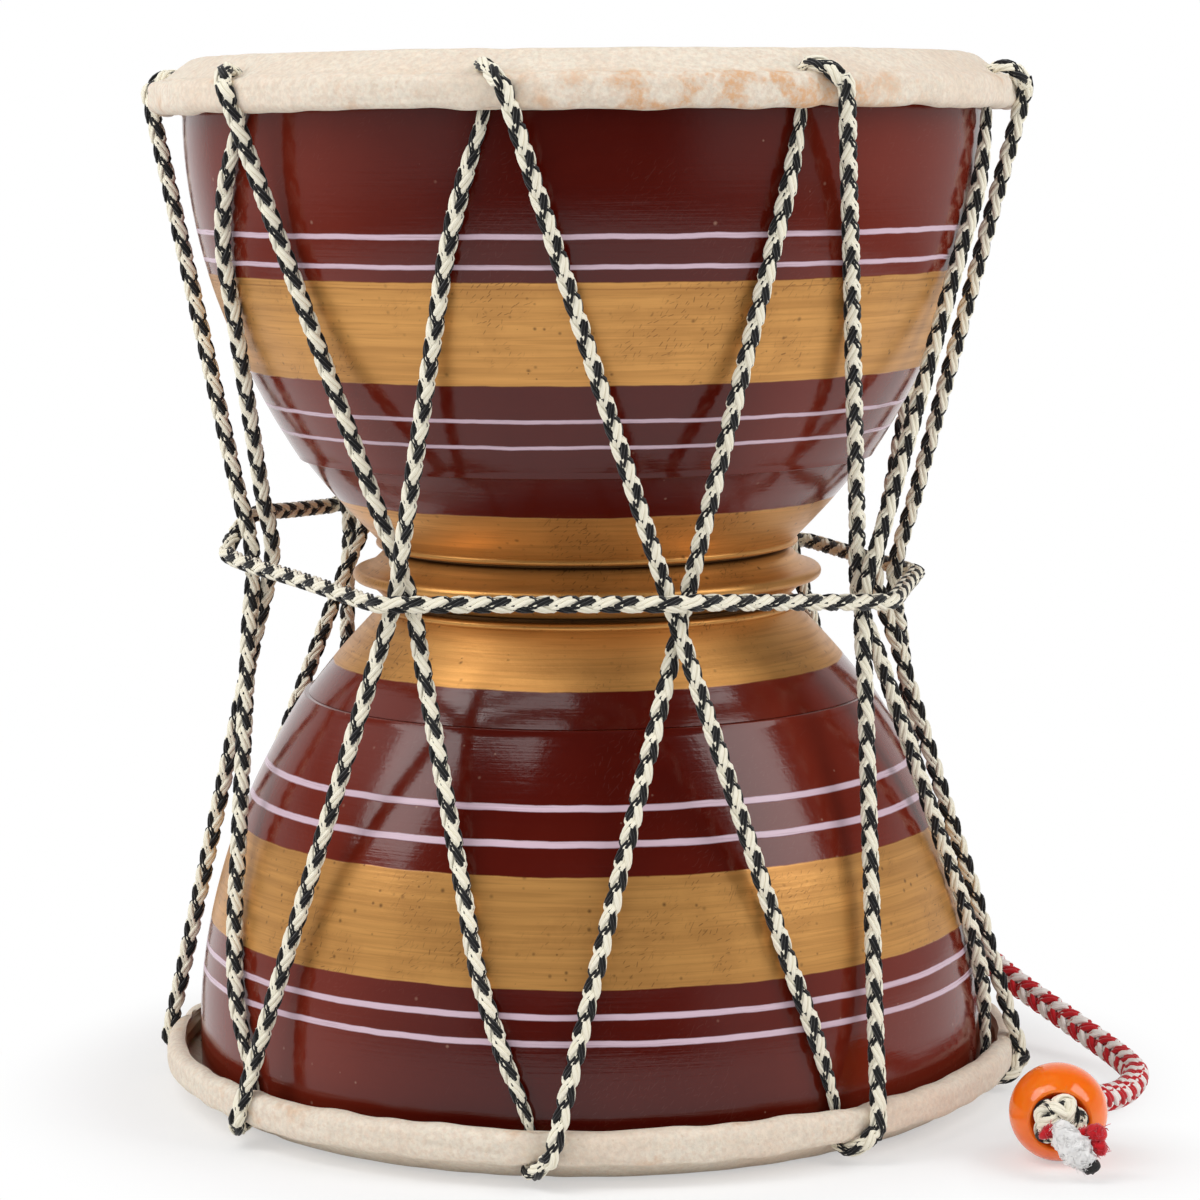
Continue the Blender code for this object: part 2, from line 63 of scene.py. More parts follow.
# The drum's frame, as its solids have it
HEADS = {"upper": (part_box("upper_skin")[1].z, -1), "lower": (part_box("lower_skin")[0].z, 1)}
RIM_RADIUS = 0.0820
RIM_WALL = 0.0075
WAIST_HEIGHT = 0.1075
FIT_GAP = 0.0003
LIP_ROUND = 0.0042
BOWL_CURVE_RISE = 0.0700
SHOULDER_RADIUS = 0.0594
SHOULDER_ROUND = 0.00025
SEAM_CLOSE = 0.00022
SEAM_OFFSET = 0.0243
SPIGOT_RADIUS = 0.0500
SPIGOT_HEIGHT = 0.0080
SPIGOT_WALL = 0.0060
CONE_RADIUS = 0.0584
CONE_FOOT_RADIUS = 0.0434
CONE_BULGE = 0.0006
FOOT_BEAD = 0.0007
NECK_RADIUS = 0.0420
NECK_OFFSET = 0.0061
GROOVE_WIDTH = 0.0022
GROOVE_SINK = 0.0009
GROOVE_FROM = 0.0048
GROOVE_TO = 0.0058
COLLAR_RADIUS = 0.0487
COLLAR_ROUND = 0.0013
COLLAR_SAG = 0.0007
BORE_RADIUS = 0.0140
BORE_LENGTH = 0.0120
SKIN_THICKNESS = 0.0008
SKIN_WRAP_FROM = 103.0
SKIN_WRAP_TO = -115.0
LIP_WRAP_ANGLE = 50.0
HOOP_WIDTH = 0.0026
HOOP_HEIGHT = 0.0046
HOOP_DEPTH = 0.0079

# The lacing's route
LACE_DIAMETER = 0.0035
TUCKED_DIAMETER = 0.0024
TUCK_CLEARANCE = 0.00045
TUCK_DEPTH = 0.0120
TUCK_TAPER = 0.0100
LACE_WAIST_RADIUS = 0.0634
LACE_LAYER = 0.0040
LACING_SLANT = 3.6
CORD_DENT = 0.00055
OVER_ROLL_FROM = 116.0
TUCK_TOP_SHARE = 0.6
SWELL_SHARES = (0.85, 0.95)
LEAVE_ALLOWANCE = 0.0001
LACING_POINTS = 8
LEG_STEPS = 6
OVER_ROLL_STEPS = 6
UPPER_AZIMUTHS = (-97.5, -49.8, -10.7, 30.9, 75.5)
LOWER_AZIMUTHS = (-97.0, -51.4, -6.3, 36.0, 79.0)
CROSSING_AZIMUTHS = (-84.0, -33.1, 15.6, 56.5, 93.0)
WAIST_CORD_HEIGHTS = (0.1117, 0.1083, 0.1090, 0.1056, 0.1060, 0.1075, 0.1120, 0.1170)
CROSSING_SPREADS = (-0.0007, 0.0005, -0.0023, 0.0028, 0.0005, 0.0008, -0.0006, -0.0012)
CROSSING_REACHES = (0.0020, 0.0, 0.0, 0.0, -0.0030, 0.0, 0.0, 0.0)
WAIST_FLAT = 0.0030
HITCH_CROSSING = 0
HITCH_TURNS = (-8.0, -5.0, -1.5, 2.4)
HITCH_RISES = (0.0078, 0.0052, 0.0020, 0.0)
HITCH_DRAWS = (0.0040, 0.0012, -0.0008, 0.0)
LACING_KNOT_SPAN = 6
LACING_KNOT_SHARE = 0.30
WAIST_KNOT_SHARE = 0.72

# The striker's route
STRIKER_DIAMETER = 0.0057
LOOP_DIAMETER = 0.0038
LOOP_SPAN = 5
LOOP_SHARE = 0.36
STRIKER_ROUTE = (
    (0.0715, 154.5, 0.0905),
    (0.0760, 152.0, 0.0795),
    (0.0800, 148.5, 0.0685),
    (0.0838, 144.0, 0.0580),
    (0.0872, 138.8, 0.0475),
    (0.0900, 133.0, 0.0378),
    (0.0922, 126.5, 0.0290),
    (0.0937, 119.5, 0.0215),
    (0.0950, 112.5, 0.0160),
    (0.0975, 106.0, 0.0122),
    (0.1015, 100.5, 0.0090),
    (0.1060, 95.8, 0.0060),
    (0.1105, 91.0, 0.0036),
    (0.1130, 86.5, 0.00285),
    (0.1142, 82.0, 0.00285),
    (0.1134, 77.0, 0.0029),
    (0.1118, 72.3, 0.0034),
    (0.1098, 67.8, 0.0047),
    (0.1084, 63.4, 0.0068),
)
BEAD_DIAMETER = 0.0190
BEAD_LENGTH = 0.0144
BEAD_BORE_DIAMETER = 0.0066
BEAD_MOUTH_DIAMETER = 0.0110
BEAD_MOUTH_DEPTH = 0.0034
BEAD_EDGE_ROUND = 0.0006
BEAD_PLACE = (0.0904, -0.0690)
BEAD_FACING = -4.5
BEAD_LEAD_IN = 0.0050
KNOT_DOME = 0.0038
TAIL_ROUTE = (
    (0.0, 0.0, 0.0),
    (0.0, -0.0014, 0.0),
    (0.0013, -0.0030, -0.0022),
    (0.0033, -0.0042, -0.0045),
    (0.0053, -0.0048, -0.0061),
)

# Worked out from the sizes above
LIP_DEPTH = SKIN_THICKNESS + FIT_GAP
TUCK_RADIUS = RIM_RADIUS + TUCK_CLEARANCE + TUCKED_DIAMETER / 2
HOOP_RADIUS = RIM_RADIUS + 2 * TUCK_CLEARANCE + TUCKED_DIAMETER + HOOP_WIDTH / 2
WAIST_CORD_RADIUS = LACE_WAIST_RADIUS + 2 * LACE_LAYER

# How finely the pieces are made
WOOD_STEPS = 240
WALL_STEPS = 60
LIP_STEPS = 6
SHOULDER_STEPS = 5
HOLLOW_STEPS = 13
CONE_STEPS = 15
FOOT_BEAD_STEPS = 7
COLLAR_STEPS = 9
SKIN_STEPS = 480
SKIN_LIP_STEPS = 8
SKIN_ROLL_STEPS = 30
INNER_ROLL_STEPS = 18
INNER_LIP_STEPS = 5
SMOOTH_STEPS = 16
BRAID_SPACING = 0.00084
STRIKER_SPACING = 0.0005
LOOP_STEPS = 16
BEAD_TURN_STEPS = 96
BEAD_SIDE_STEPS = 40
BEAD_EDGE_STEPS = 7

# Edges sharper than this many degrees stay sharp
WOOD_CREASE = 40
SKIN_CREASE = 60
BEAD_CREASE = 50

# The painted bands, as heights of their lower and upper edges, and the thin lines' middles and widths
GOLD_BANDS = ((0.0366, 0.0570), (0.0898, 0.1237), (0.1505, 0.1702))
LINES = (
    (0.0265, 0.00115),
    (0.0315, 0.00115),
    (0.0629, 0.00120),
    (0.0693, 0.00115),
    (0.1383, 0.00070),
    (0.1435, 0.00075),
    (0.1731, 0.00090),
    (0.1788, 0.00100),
)
COAT_EDGE = 0.0011
COAT_EDGE_WIDTH = 0.0003

# The view: where the camera stands and how it is tipped
CAMERA_PLACE = (0.0026, -0.7648, 0.1975)
CAMERA_TILT_DOWN = 7.18
CAMERA_ROLL = -0.44
CAMERA_SENSOR = 36.0
CAMERA_NEAR = 0.05
CAMERA_FAR = 50.0


def colour_property(name, description, default):
    return FloatVectorProperty(
        name=name, description=description, subtype="COLOR", size=3, min=0.0, max=1.0, default=default
    )


def length_property(name, description, default):
    return FloatProperty(
        name=name, description=description, unit="LENGTH", precision=5, min=0.0, default=default
    )


def share_property(name, description, default, most=1.0):
    return FloatProperty(
        name=name, description=description, subtype="FACTOR", min=0.0, max=most, default=default
    )


def power_property(name, description, default):
    return FloatProperty(name=name, description=description, unit="POWER", default=default)


class WoodLook(bpy.types.PropertyGroup):
    """The turned body: its lacquer, gold paint and thin lines."""

    lacquer: colour_property("Lacquer", "Maroon lacquer on the bowls", (0.064, 0.0026, 0.0009))
    # Painted light: this redder lacquer colour away from the front stands in for light from the sides, and
    # the plain lacquer colour over the front is painted shade.
    lacquer_side_light: colour_property("Lacquer glow", "Redder, away from the front", (0.190, 0.022, 0.010))
    gold: colour_property("Gold", "Gold paint on the bands and the waist", (0.71, 0.355, 0.100))
    gold_worn: colour_property("Worn gold", "Gold paint where it is thin", (0.50, 0.235, 0.062))
    line: colour_property("Lines", "The thin painted lines", (0.66, 0.49, 0.58))
    unevenness: length_property("Unevenness", "How far the turned wall departs from true", 0.00006)


class SkinLook(bpy.types.PropertyGroup):
    """The goat skins stretched over both heads."""

    hide: colour_property("Hide", "Clean hide", (0.84, 0.75, 0.63))
    stain: colour_property("Stains", "Tan stains on the rolled edge", (0.70, 0.40, 0.21))
    blush: colour_property("Blush", "Pinkish patches in the hide", (0.76, 0.60, 0.47))
    lumps: length_property("Lumps", "How far the rolled edge swells and sinks", 0.00036)
    edge_waves: length_property("Edge waves", "How far the rolled edge wanders up and down", 0.00028)


class LaceLook(bpy.types.PropertyGroup):
    """The black and cream braid that laces the heads together."""

    cream: colour_property("Cream", "Cream strands", (0.97, 0.92, 0.76))
    black: colour_property("Black", "Black strands", (0.006, 0.006, 0.007))
    pitch: length_property("Pitch", "Length of cord in which a strand goes once round", 0.0168)
    cream_fullness: share_property("Cream fullness", "How much of its place a cream yarn fills", 1.30, 1.5)
    black_fullness: share_property("Black fullness", "How much of its place a black yarn fills", 1.02, 1.5)


class StrikerLook(bpy.types.PropertyGroup):
    """The red and white striker, its bead and its frayed end."""

    red: colour_property("Red", "Red strands", (0.60, 0.010, 0.018))
    white: colour_property("White", "White strands", (0.97, 0.92, 0.88))
    pitch: length_property("Pitch", "Length of cord in which a strand goes once round", 0.0133)
    white_fullness: share_property("White fullness", "How much of its place a white yarn fills", 1.16, 1.5)
    red_fullness: share_property("Red fullness", "How much of its place a red yarn fills", 1.22, 1.5)
    cotton: colour_property("Cotton", "White fibres of the frayed end", (0.97, 0.96, 0.95))
    bead: colour_property("Bead", "Orange plastic of the bead", (1.0, 0.165, 0.006))
    bead_pale: colour_property("Bead streaks", "Paler streaks in the plastic", (1.0, 0.26, 0.02))
    burnt: colour_property("Burnt tip", "The tail's melted end", (0.010, 0.009, 0.009))


class StageLook(bpy.types.PropertyGroup):
    """The floor, the lamps and the camera."""

    floor: colour_property("Floor", "Pale floor", (0.93, 0.93, 0.93))
    ambient: share_property("Ambient", "Light from the sides, all round", 0.84)
    overhead: share_property("Overhead", "Light from straight above", 0.30)
    room: share_property("Room", "How light the room is in a reflection", 0.05)
    walls: share_property("Walls", "How light its low walls are in a reflection", 0.55)
    front: share_property("Front", "How light the room's front is in a reflection", 0.36)
    panel: share_property("Panel", "How light a panel high at the left is in a reflection", 0.80)
    key_power: power_property("Key lamp", "Lamp high at the left", 4.7)
    fill_power: power_property("Fill lamp", "Lamp high at the right", 5.0)
    top_power: power_property("Top lamp", "Soft lamp above", 2.8)
    lens: FloatProperty(name="Lens", description="Focal length", unit="CAMERA", default=110.8)


# Points and curves


def at(radius, azimuth, height):
    """The point at a radius, an azimuth and a height."""
    turn = math.radians(azimuth)
    return Vector((radius * math.sin(turn), -radius * math.cos(turn), height))


def arc(centre, across, along, start, stop, steps):
    """Points (radius, depth) on an ellipse in a head's section, from one angle to another. 90 is up."""
    points = []
    for step in range(steps + 1):
        turn = math.radians(start + (stop - start) * step / steps)
        points.append((centre[0] + across * math.cos(turn), centre[1] - along * math.sin(turn)))
    return points


def line(start, stop, steps):
    """Points between two ends, without the ends."""
    return [tuple(a + (b - a) * step / steps for a, b in zip(start, stop)) for step in range(1, steps)]


def ripples(seed, count, rounds, runs):
    """A smooth uneven function of a turn and a height, from -1 to 1, that closes round the drum."""
    rng = np.random.default_rng(seed)
    around = rng.integers(rounds[0], rounds[1] + 1, count)
    along = rng.uniform(*runs, count) * rng.choice((-1, 1), count)
    phase = rng.uniform(0, math.tau, count)
    share = rng.uniform(0.5, 1.0, count)
    share /= np.sqrt(count) * share.mean()

    def value(turn, height):
        waves = [s * np.cos(a * turn + b * height + p) for a, b, p, s in zip(around, along, phase, share)]
        return np.clip(sum(waves), -1.0, 1.0)

    return value


def smooth_path(points, shares, spacing, closed):
    """Evenly spaced points on a smooth curve through a route's own points, with its shares of thickness."""
    route = np.array([(*point, share) for point, share in zip(points, shares)], float)
    if closed:
        ends = np.vstack((route[-1:], route, route[:2]))
    else:
        ends = np.vstack((2 * route[0] - route[1], route, 2 * route[-1] - route[-2]))
    t = (np.arange(SMOOTH_STEPS) / SMOOTH_STEPS)[:, None]
    fine = []
    for before, start, stop, after in zip(ends, ends[1:], ends[2:], ends[3:]):
        curve = 2 * start + (stop - before) * t + (2 * before - 5 * start + 4 * stop - after) * t**2
        fine.append((curve + (3 * start - before - 3 * stop + after) * t**3) / 2)
    fine = np.vstack((*fine, ends[-2:-1]))
    run = np.concatenate(([0.0], np.cumsum(np.linalg.norm(np.diff(fine[:, :3], axis=0), axis=1))))
    count = max(2, round(run[-1] / spacing))
    goals = np.linspace(0, run[-1], count + 1)[: count if closed else count + 1]
    even = np.stack([np.interp(goals, run, fine[:, k]) for k in range(4)], axis=1)
    return even[:, :3], even[:, 3]


def normalised(vectors):
    return vectors / np.linalg.norm(vectors, axis=-1, keepdims=True)


def slopes(points, closed):
    """The direction of a path at each of its points."""
    if closed:
        return normalised(np.roll(points, -1, axis=0) - np.roll(points, 1, axis=0))
    return normalised(np.gradient(points, axis=0))


UPRIGHT_LIMIT = 0.1


def untwisted_frames(points, closed):
    """Two directions square to a path at each point, which turn no more than the path makes them."""
    tangents = slopes(points, closed)
    side = np.cross(tangents[0], (0.0, 0.0, 1.0))
    if np.linalg.norm(side) < UPRIGHT_LIMIT:
        side = np.cross(tangents[0], (1.0, 0.0, 0.0))
    sides = []
    for tangent in tangents:
        side = side - tangent * (side @ tangent)
        side = side / np.linalg.norm(side)
        sides.append(side)
    sides = np.array(sides)
    ups = np.cross(tangents, sides)
    if closed:
        last = sides[-1] - tangents[0] * (sides[-1] @ tangents[0])
        gain = math.atan2(last @ ups[0], last @ sides[0])
        turn = -gain * np.arange(len(points)) / len(points)
        cos, sin = np.cos(turn)[:, None], np.sin(turn)[:, None]
        sides, ups = sides * cos + ups * sin, ups * cos - sides * sin
    return sides, ups


# Meshes


def grid_faces(rows, columns, rows_close, columns_close):
    """Quads between the points of a grid that is numbered row by row."""
    row, column = np.meshgrid(
        np.arange(rows if rows_close else rows - 1),
        np.arange(columns if columns_close else columns - 1),
        indexing="ij",
    )
    below = (row + 1) % rows
    beside = (column + 1) % columns
    here, after = row * columns, below * columns
    corners = (here + column, here + beside, after + beside, after + column)
    return np.stack(corners, axis=-1).reshape(-1, 4)


class Shell:
    """Points, faces, finishes and yarn coordinates gathered for one piece."""

    def __init__(self):
        self.points = []
        self.faces = []
        self.finishes = []
        self.yarn = []
        self.count = 0

    def add_rings(self, rings, closed_along, finish=0, yarn=None):
        """Adds a tube of rings. Open ends get a cap."""
        rows, columns, _ = rings.shape
        quads = grid_faces(rows, columns, closed_along, True)
        a, b, c, d = (rings.reshape(-1, 3)[quads[:, k]] for k in range(4))
        middle = rings.reshape(-1, 3).mean(0)
        volume = np.einsum("ij,ij->", np.cross(b - a, c - a), a - middle)
        volume += np.einsum("ij,ij->", np.cross(c - a, d - a), a - middle)
        faces = quads.tolist()
        if not closed_along:
            faces.append(list(range(columns))[::-1])
            faces.append(list(range((rows - 1) * columns, rows * columns)))
        if volume < 0:
            faces = [face[::-1] for face in faces]
        self.points.append(rings.reshape(-1, 3))
        self.faces += [[k + self.count for k in face] for face in faces]
        self.finishes += [finish] * len(faces)
        self.yarn.append(np.zeros((rows * columns, 2)) if yarn is None else yarn.reshape(-1, 2))
        self.count += rows * columns

    def piece(self, name, materials, crease=None):
        """The gathered shell as an object."""
        mesh = bpy.data.meshes.new(name)
        mesh.from_pydata(np.vstack(self.points), [], self.faces)
        layer = mesh.uv_layers.new(name="yarn")
        corners = np.zeros(len(mesh.loops), np.int32)
        mesh.loops.foreach_get("vertex_index", corners)
        layer.data.foreach_set("uv", np.vstack(self.yarn)[corners].astype(np.float32).ravel())
        mesh.polygons.foreach_set("material_index", np.array(self.finishes, np.int32))
        for material in materials:
            mesh.materials.append(material)
        mesh.shade_smooth()
        if crease:
            mesh.set_sharp_from_angle(angle=math.radians(crease))
        obj = bpy.data.objects.new(name, mesh)
        bpy.context.scene.collection.objects.link(obj)
        return obj


def dress(obj, body, solid):
    """Fixes a piece to its body and puts it in the place of its solid, which it hides."""
    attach(obj, body)
    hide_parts(solid)
    return obj


def turned_rings(outline, steps, swell=None):
    """A closed outline of (radius, height) turned about Z, as rings round the outline."""
    radius, height = np.array(outline, float).T
    turn = (np.arange(steps) * math.tau / steps)[:, None]
    out = np.broadcast_to(radius, (steps, len(radius)))
    if swell is not None:
        out = out + swell(turn, height)
    return np.stack((out * np.sin(turn), -out * np.cos(turn), np.broadcast_to(height, out.shape)), axis=-1)


def tube_rings(points, radii, sides):
    """Round rings along an open path."""
    side, up = untwisted_frames(points, False)
    turn = np.arange(sides) * math.tau / sides
    spoke = side[:, None] * np.cos(turn)[:, None] + up[:, None] * np.sin(turn)[:, None]
    return points[:, None] + spoke * np.broadcast_to(radii, len(points))[:, None, None]


# The part's routes


def all_round(front):
    """The azimuths seen from the front, and the rest evenly spaced over the arc behind."""
    behind = LACING_POINTS - len(front)
    step = (front[0] + 360 - front[-1]) / (behind + 1)
    return list(front) + [front[-1] + step * (k + 1) for k in range(behind)]


AZIMUTHS = {"upper": all_round(UPPER_AZIMUTHS), "lower": all_round(LOWER_AZIMUTHS)}
CROSSINGS = all_round(CROSSING_AZIMUTHS)


def seam_depth(head):
    face, _ = HEADS[head]
    return abs(face - WAIST_HEIGHT) - SEAM_OFFSET - FIT_GAP


def bowl_radius(head, depth):
    """The bowl's outer radius: straight under the rim, then a parabola in to the shoulder."""
    rise = seam_depth(head) - depth
    inward = min(1.0, max(0.0, 1 - rise / BOWL_CURVE_RISE))
    return RIM_RADIUS - (RIM_RADIUS - SHOULDER_RADIUS) * inward**2


def rim_turn(head, azimuth):
    """The cord's way at a head: up inside the hoop, out of its hole and slanting over the rolled edge."""
    face, way = HEADS[head]
    hole = azimuth - LACING_SLANT / 2
    reach = 2 * FIT_GAP + SKIN_THICKNESS + LACE_DIAMETER / 2 - CORD_DENT
    across = HOOP_WIDTH / 2 + reach
    along = HOOP_HEIGHT / 2 + reach
    points = [at(TUCK_RADIUS, hole, face + way * share * HOOP_DEPTH) for share in (1.0, TUCK_TOP_SHARE)]
    points.insert(0, at(TUCK_RADIUS, hole, face + way * TUCK_DEPTH))
    over = arc((HOOP_RADIUS, HOOP_DEPTH), across, along, OVER_ROLL_FROM, 0, OVER_ROLL_STEPS)
    for step, (radius, depth) in enumerate(over):
        slant = LACING_SLANT * max(0, step - 1) / (OVER_ROLL_STEPS - 1)
        points.append(at(radius, hole + slant, face + way * depth))
    shares = [TUCKED_DIAMETER / LACE_DIAMETER] * (len(points) - OVER_ROLL_STEPS + 1)
    shares += SWELL_SHARES
    return points, shares + [1.0] * (len(points) - len(shares))


def beside_bowl(head, depth, share):
    """The least radius of a cord's middle where it passes a bowl."""
    return bowl_radius(head, depth) + FIT_GAP + share * LACE_DIAMETER / 2


def clear_of_bowl(head, points, shares):
    """True where a straight run of cord lies outside the bowl."""
    face, _ = HEADS[head]
    for point, share in zip(points, shares):
        depth = abs(face - point.z)
        room = beside_bowl(head, depth, share) - LEAVE_ALLOWANCE
        if depth < seam_depth(head) and math.hypot(point.x, point.y) < room:
            return False
    return True


def free_leg(head, start, bend):
    """From over a rim to the waist, straight unless the bowl's side holds it out."""
    face, _ = HEADS[head]
    points = []
    for step in range(1, LEG_STEPS):
        point = start.lerp(bend, step / LEG_STEPS)
        depth = abs(face - point.z)
        radius = math.hypot(point.x, point.y)
        if depth < seam_depth(head):
            out = max(radius, beside_bowl(head, depth, 1.0)) / radius
            point = Vector((point.x * out, point.y * out, point.z))
        points.append(point)
    return points


def tucked_leg(head, azimuth, bend, bend_azimuth):
    """From the waist to a rim, straight first and then along the bowl's side into the tuck."""
    face, way = HEADS[head]
    bend_depth = abs(face - bend.z)
    tucked = TUCKED_DIAMETER / LACE_DIAMETER
    points = []
    shares = []
    for step in range(1, LEG_STEPS + 1):
        depth = TUCK_DEPTH + (bend_depth - TUCK_DEPTH) * step / (LEG_STEPS + 1)
        share = min(1.0, tucked + (1 - tucked) * (depth - TUCK_DEPTH) / TUCK_TAPER)
        turn = azimuth + (bend_azimuth - azimuth) * step / (LEG_STEPS + 1)
        points.append(at(beside_bowl(head, depth, share), turn, face + way * depth))
        shares.append(share)
    for leave in range(LEG_STEPS):
        rest = LEG_STEPS - leave
        straight = [points[leave].lerp(bend, k / rest) for k in range(1, rest)]
        if clear_of_bowl(head, straight, shares[leave + 1 :]):
            points[leave + 1 :] = straight
            break
    return points[::-1], shares[: len(points)][::-1]


def lacing_round(first_is_upper, radius):
    """One round of the lacing: every second point of each head, always onwards to the right."""
    points = []
    shares = []
    bends = []
    for index in range(LACING_POINTS):
        here, there = ("upper", "lower") if (index % 2 == 0) == first_is_upper else ("lower", "upper")
        follow = (index + 1) % LACING_POINTS
        lap = 360 if follow == 0 else 0
        turn_points, turn_shares = rim_turn(here, AZIMUTHS[here][index])
        spread = math.degrees(CROSSING_SPREADS[index] / radius)
        bend_azimuth = CROSSINGS[index] + (spread if here == "upper" else -spread)
        bend = at(radius + CROSSING_REACHES[index], bend_azimuth, WAIST_CORD_HEIGHTS[index])
        free = free_leg(here, turn_points[-1], bend)
        goal = AZIMUTHS[there][follow] + lap - LACING_SLANT / 2
        leg_points, leg_shares = tucked_leg(there, goal, bend, bend_azimuth)
        points += [*turn_points, *free, bend, *leg_points]
        shares += [*turn_shares, *[1.0] * len(free), 1.0, *leg_shares]
        bends.append((bend, leg_points[0]))
    return points, shares, bends


def waist_corners():
    """The waist cord's corners at each crossing: two, so that it lies flat over both legs.

    At its hitch the cord comes from behind the legs and drops as it goes round them.
    """
    corners = []
    half = math.degrees(WAIST_FLAT / WAIST_CORD_RADIUS)
    for index, azimuth in enumerate(CROSSINGS):
        radius = WAIST_CORD_RADIUS + CROSSING_REACHES[index]
        height = WAIST_CORD_HEIGHTS[index]
        bends = [(-half, 0.0, 0.0), (half, 0.0, 0.0)]
        if index == HITCH_CROSSING:
            bends = zip(HITCH_TURNS, HITCH_RISES, HITCH_DRAWS)
        corners.append([at(radius - draw, azimuth + turn, height + rise) for turn, rise, draw in bends])
    return corners


def loop_span(corners):
    """The ends of the waist cord's straight run that carries the striker and its own knot."""
    return corners[LOOP_SPAN][-1], corners[LOOP_SPAN + 1][0]


def striker_hinge():
    """Where the striker is tied to the waist cord, and the cord's direction there."""
    start, stop = loop_span(waist_corners())
    return start.lerp(stop, LOOP_SHARE), (stop - start).normalized()


def bead_frame():
    """The bead's middle, and its directions: to the right, up, and out of its front mouth."""
    turn = math.radians(BEAD_FACING)
    right = Vector((math.cos(turn), math.sin(turn), 0.0))
    return Vector((*BEAD_PLACE, BEAD_DIAMETER / 2)), right, Vector((0, 0, 1)), at(1.0, BEAD_FACING, 0.0)


def striker_route():
    """The striker's own points, from its loop to the bead's front mouth."""
    hinge, _ = striker_hinge()
    middle, _, _, axis = bead_frame()
    half = BEAD_LENGTH / 2
    drop = LACE_DIAMETER / 2 + 2 * FIT_GAP + LOOP_DIAMETER
    route = [hinge - Vector((0, 0, drop)), hinge - Vector((0, 0, drop + STRIKER_DIAMETER))]
    route += [at(*point) for point in STRIKER_ROUTE]
    route += [middle - axis * (half + BEAD_LEAD_IN), middle - axis * half]
    route.append(middle + axis * (half - BEAD_MOUTH_DEPTH))
    return route


# Braiding

YARNS_EACH_WAY = 8
YARNS_IN_STRAND = 2
YARN_CLOSENESS = 0.70
COLUMN_PAIRS = 2
COLUMN_PHASE = math.radians(99)
BRAID_MIDDLE = 0.63
BRAID_RELIEF = 0.16
DIVE = 4.5
YARN_THICKNESS = 0.20
YARN_SECTION = np.array(((-1.0, -0.35), (-0.62, 0.7), (0.0, 1.0), (0.62, 0.7), (1.0, -0.35)))


def braid(shell, path, shares, closed, radius, pitch, fullness):
    """Plaits eight strands of two yarns, four each way, over two and under two, round a path.

    The radius is the cord's own. The strands take the first and the second finish in turn, and fullness
    is the share of its place that a yarn of each finish fills. The pitch may change along the path.
    """
    side, up = untwisted_frames(path, closed)
    steps = np.linalg.norm(np.diff(path, axis=0, append=path[:1] if closed else path[-1:]), axis=1)
    turns = np.cumsum(steps / pitch)
    if closed:
        turns *= max(1, round(turns[-1])) / turns[-1]
    turns = np.concatenate(([0.0], turns[:-1]))
    lead = np.arctan2(math.tau * BRAID_MIDDLE * radius, pitch)
    place = np.broadcast_to(pitch * np.sin(lead) / YARNS_EACH_WAY, len(path))[:, None]
    shares = shares[:, None]
    sides = len(YARN_SECTION)
    for way in (1, -1):
        for number in range(YARNS_EACH_WAY):
            strand, yarn_place = divmod(number, YARNS_IN_STRAND)
            finish = (strand + (way < 0)) % 2
            strand_middle = YARNS_IN_STRAND * strand
            offset = (yarn_place - (YARNS_IN_STRAND - 1) / 2) * YARN_CLOSENESS * fullness[finish]
            column = math.tau * (strand_middle / YARNS_EACH_WAY + way * turns)
            turn = column + math.tau * offset / YARNS_EACH_WAY
            spoke = side * np.cos(turn)[:, None] + up * np.sin(turn)[:, None]
            over = way * np.tanh(DIVE * np.cos(COLUMN_PAIRS * column - COLUMN_PHASE))[:, None]
            middle = path + spoke * shares * radius * (BRAID_MIDDLE + BRAID_RELIEF * over)
            across = normalised(np.cross(slopes(middle, closed), spoke))
            wide, thick = fullness[finish] * place / 2 * shares, YARN_THICKNESS * radius * shares
            rings = middle[:, None] + (across * wide)[:, None] * YARN_SECTION[:, :1]
            rings = rings + (spoke * thick)[:, None] * YARN_SECTION[:, 1:]
            along = np.broadcast_to(turns[:, None], (len(path), sides))
            around = np.broadcast_to(np.arange(sides) / sides, (len(path), sides))
            shell.add_rings(rings, closed, finish, np.stack((along, around), axis=-1))


# Shader nodes


def feed(tree, value, socket):
    """Links a socket to another node's output, or sets its own value."""
    if isinstance(value, bpy.types.NodeSocket):
        tree.links.new(value, socket)
    else:
        socket.default_value = value


def node(tree, kind, inputs=None, **settings):
    """A node with its settings made and its inputs fed, by name or by number."""
    made = tree.nodes.new(kind)
    for name, value in settings.items():
        setattr(made, name, value)
    for name, value in (inputs or {}).items():
        feed(tree, value, made.inputs[name])
    return made


def maths(tree, operation, *values):
    return node(tree, "ShaderNodeMath", dict(enumerate(values)), operation=operation).outputs[0]


def times(tree, *values):
    return maths(tree, "MULTIPLY", *values)


def times_plus(tree, *values):
    """The first value times the second, plus the third."""
    return maths(tree, "MULTIPLY_ADD", *values)


def most(tree, *values):
    """The largest of some values."""
    return functools.reduce(functools.partial(maths, tree, "MAXIMUM"), values)


def vectors(tree, operation, *values):
    return node(tree, "ShaderNodeVectorMath", dict(enumerate(values)), operation=operation).outputs


def blend_colour(tree, factor, start, stop, mode="MIX"):
    inputs = {0: factor, 6: start, 7: stop}
    return node(tree, "ShaderNodeMix", inputs, data_type="RGBA", blend_type=mode).outputs[2]


def smooth_range(tree, value, low, high, to_low=0.0, to_high=1.0):
    inputs = {"Value": value, "From Min": low, "From Max": high, "To Min": to_low, "To Max": to_high}
    return node(tree, "ShaderNodeMapRange", inputs, interpolation_type="SMOOTHSTEP").outputs[0]


def stretched(tree, position, across, along):
    """A position scaled sideways and upwards by different amounts."""
    scale = node(tree, "ShaderNodeCombineXYZ", {"X": across, "Y": across, "Z": along}).outputs[0]
    return vectors(tree, "MULTIPLY", position, scale)["Vector"]


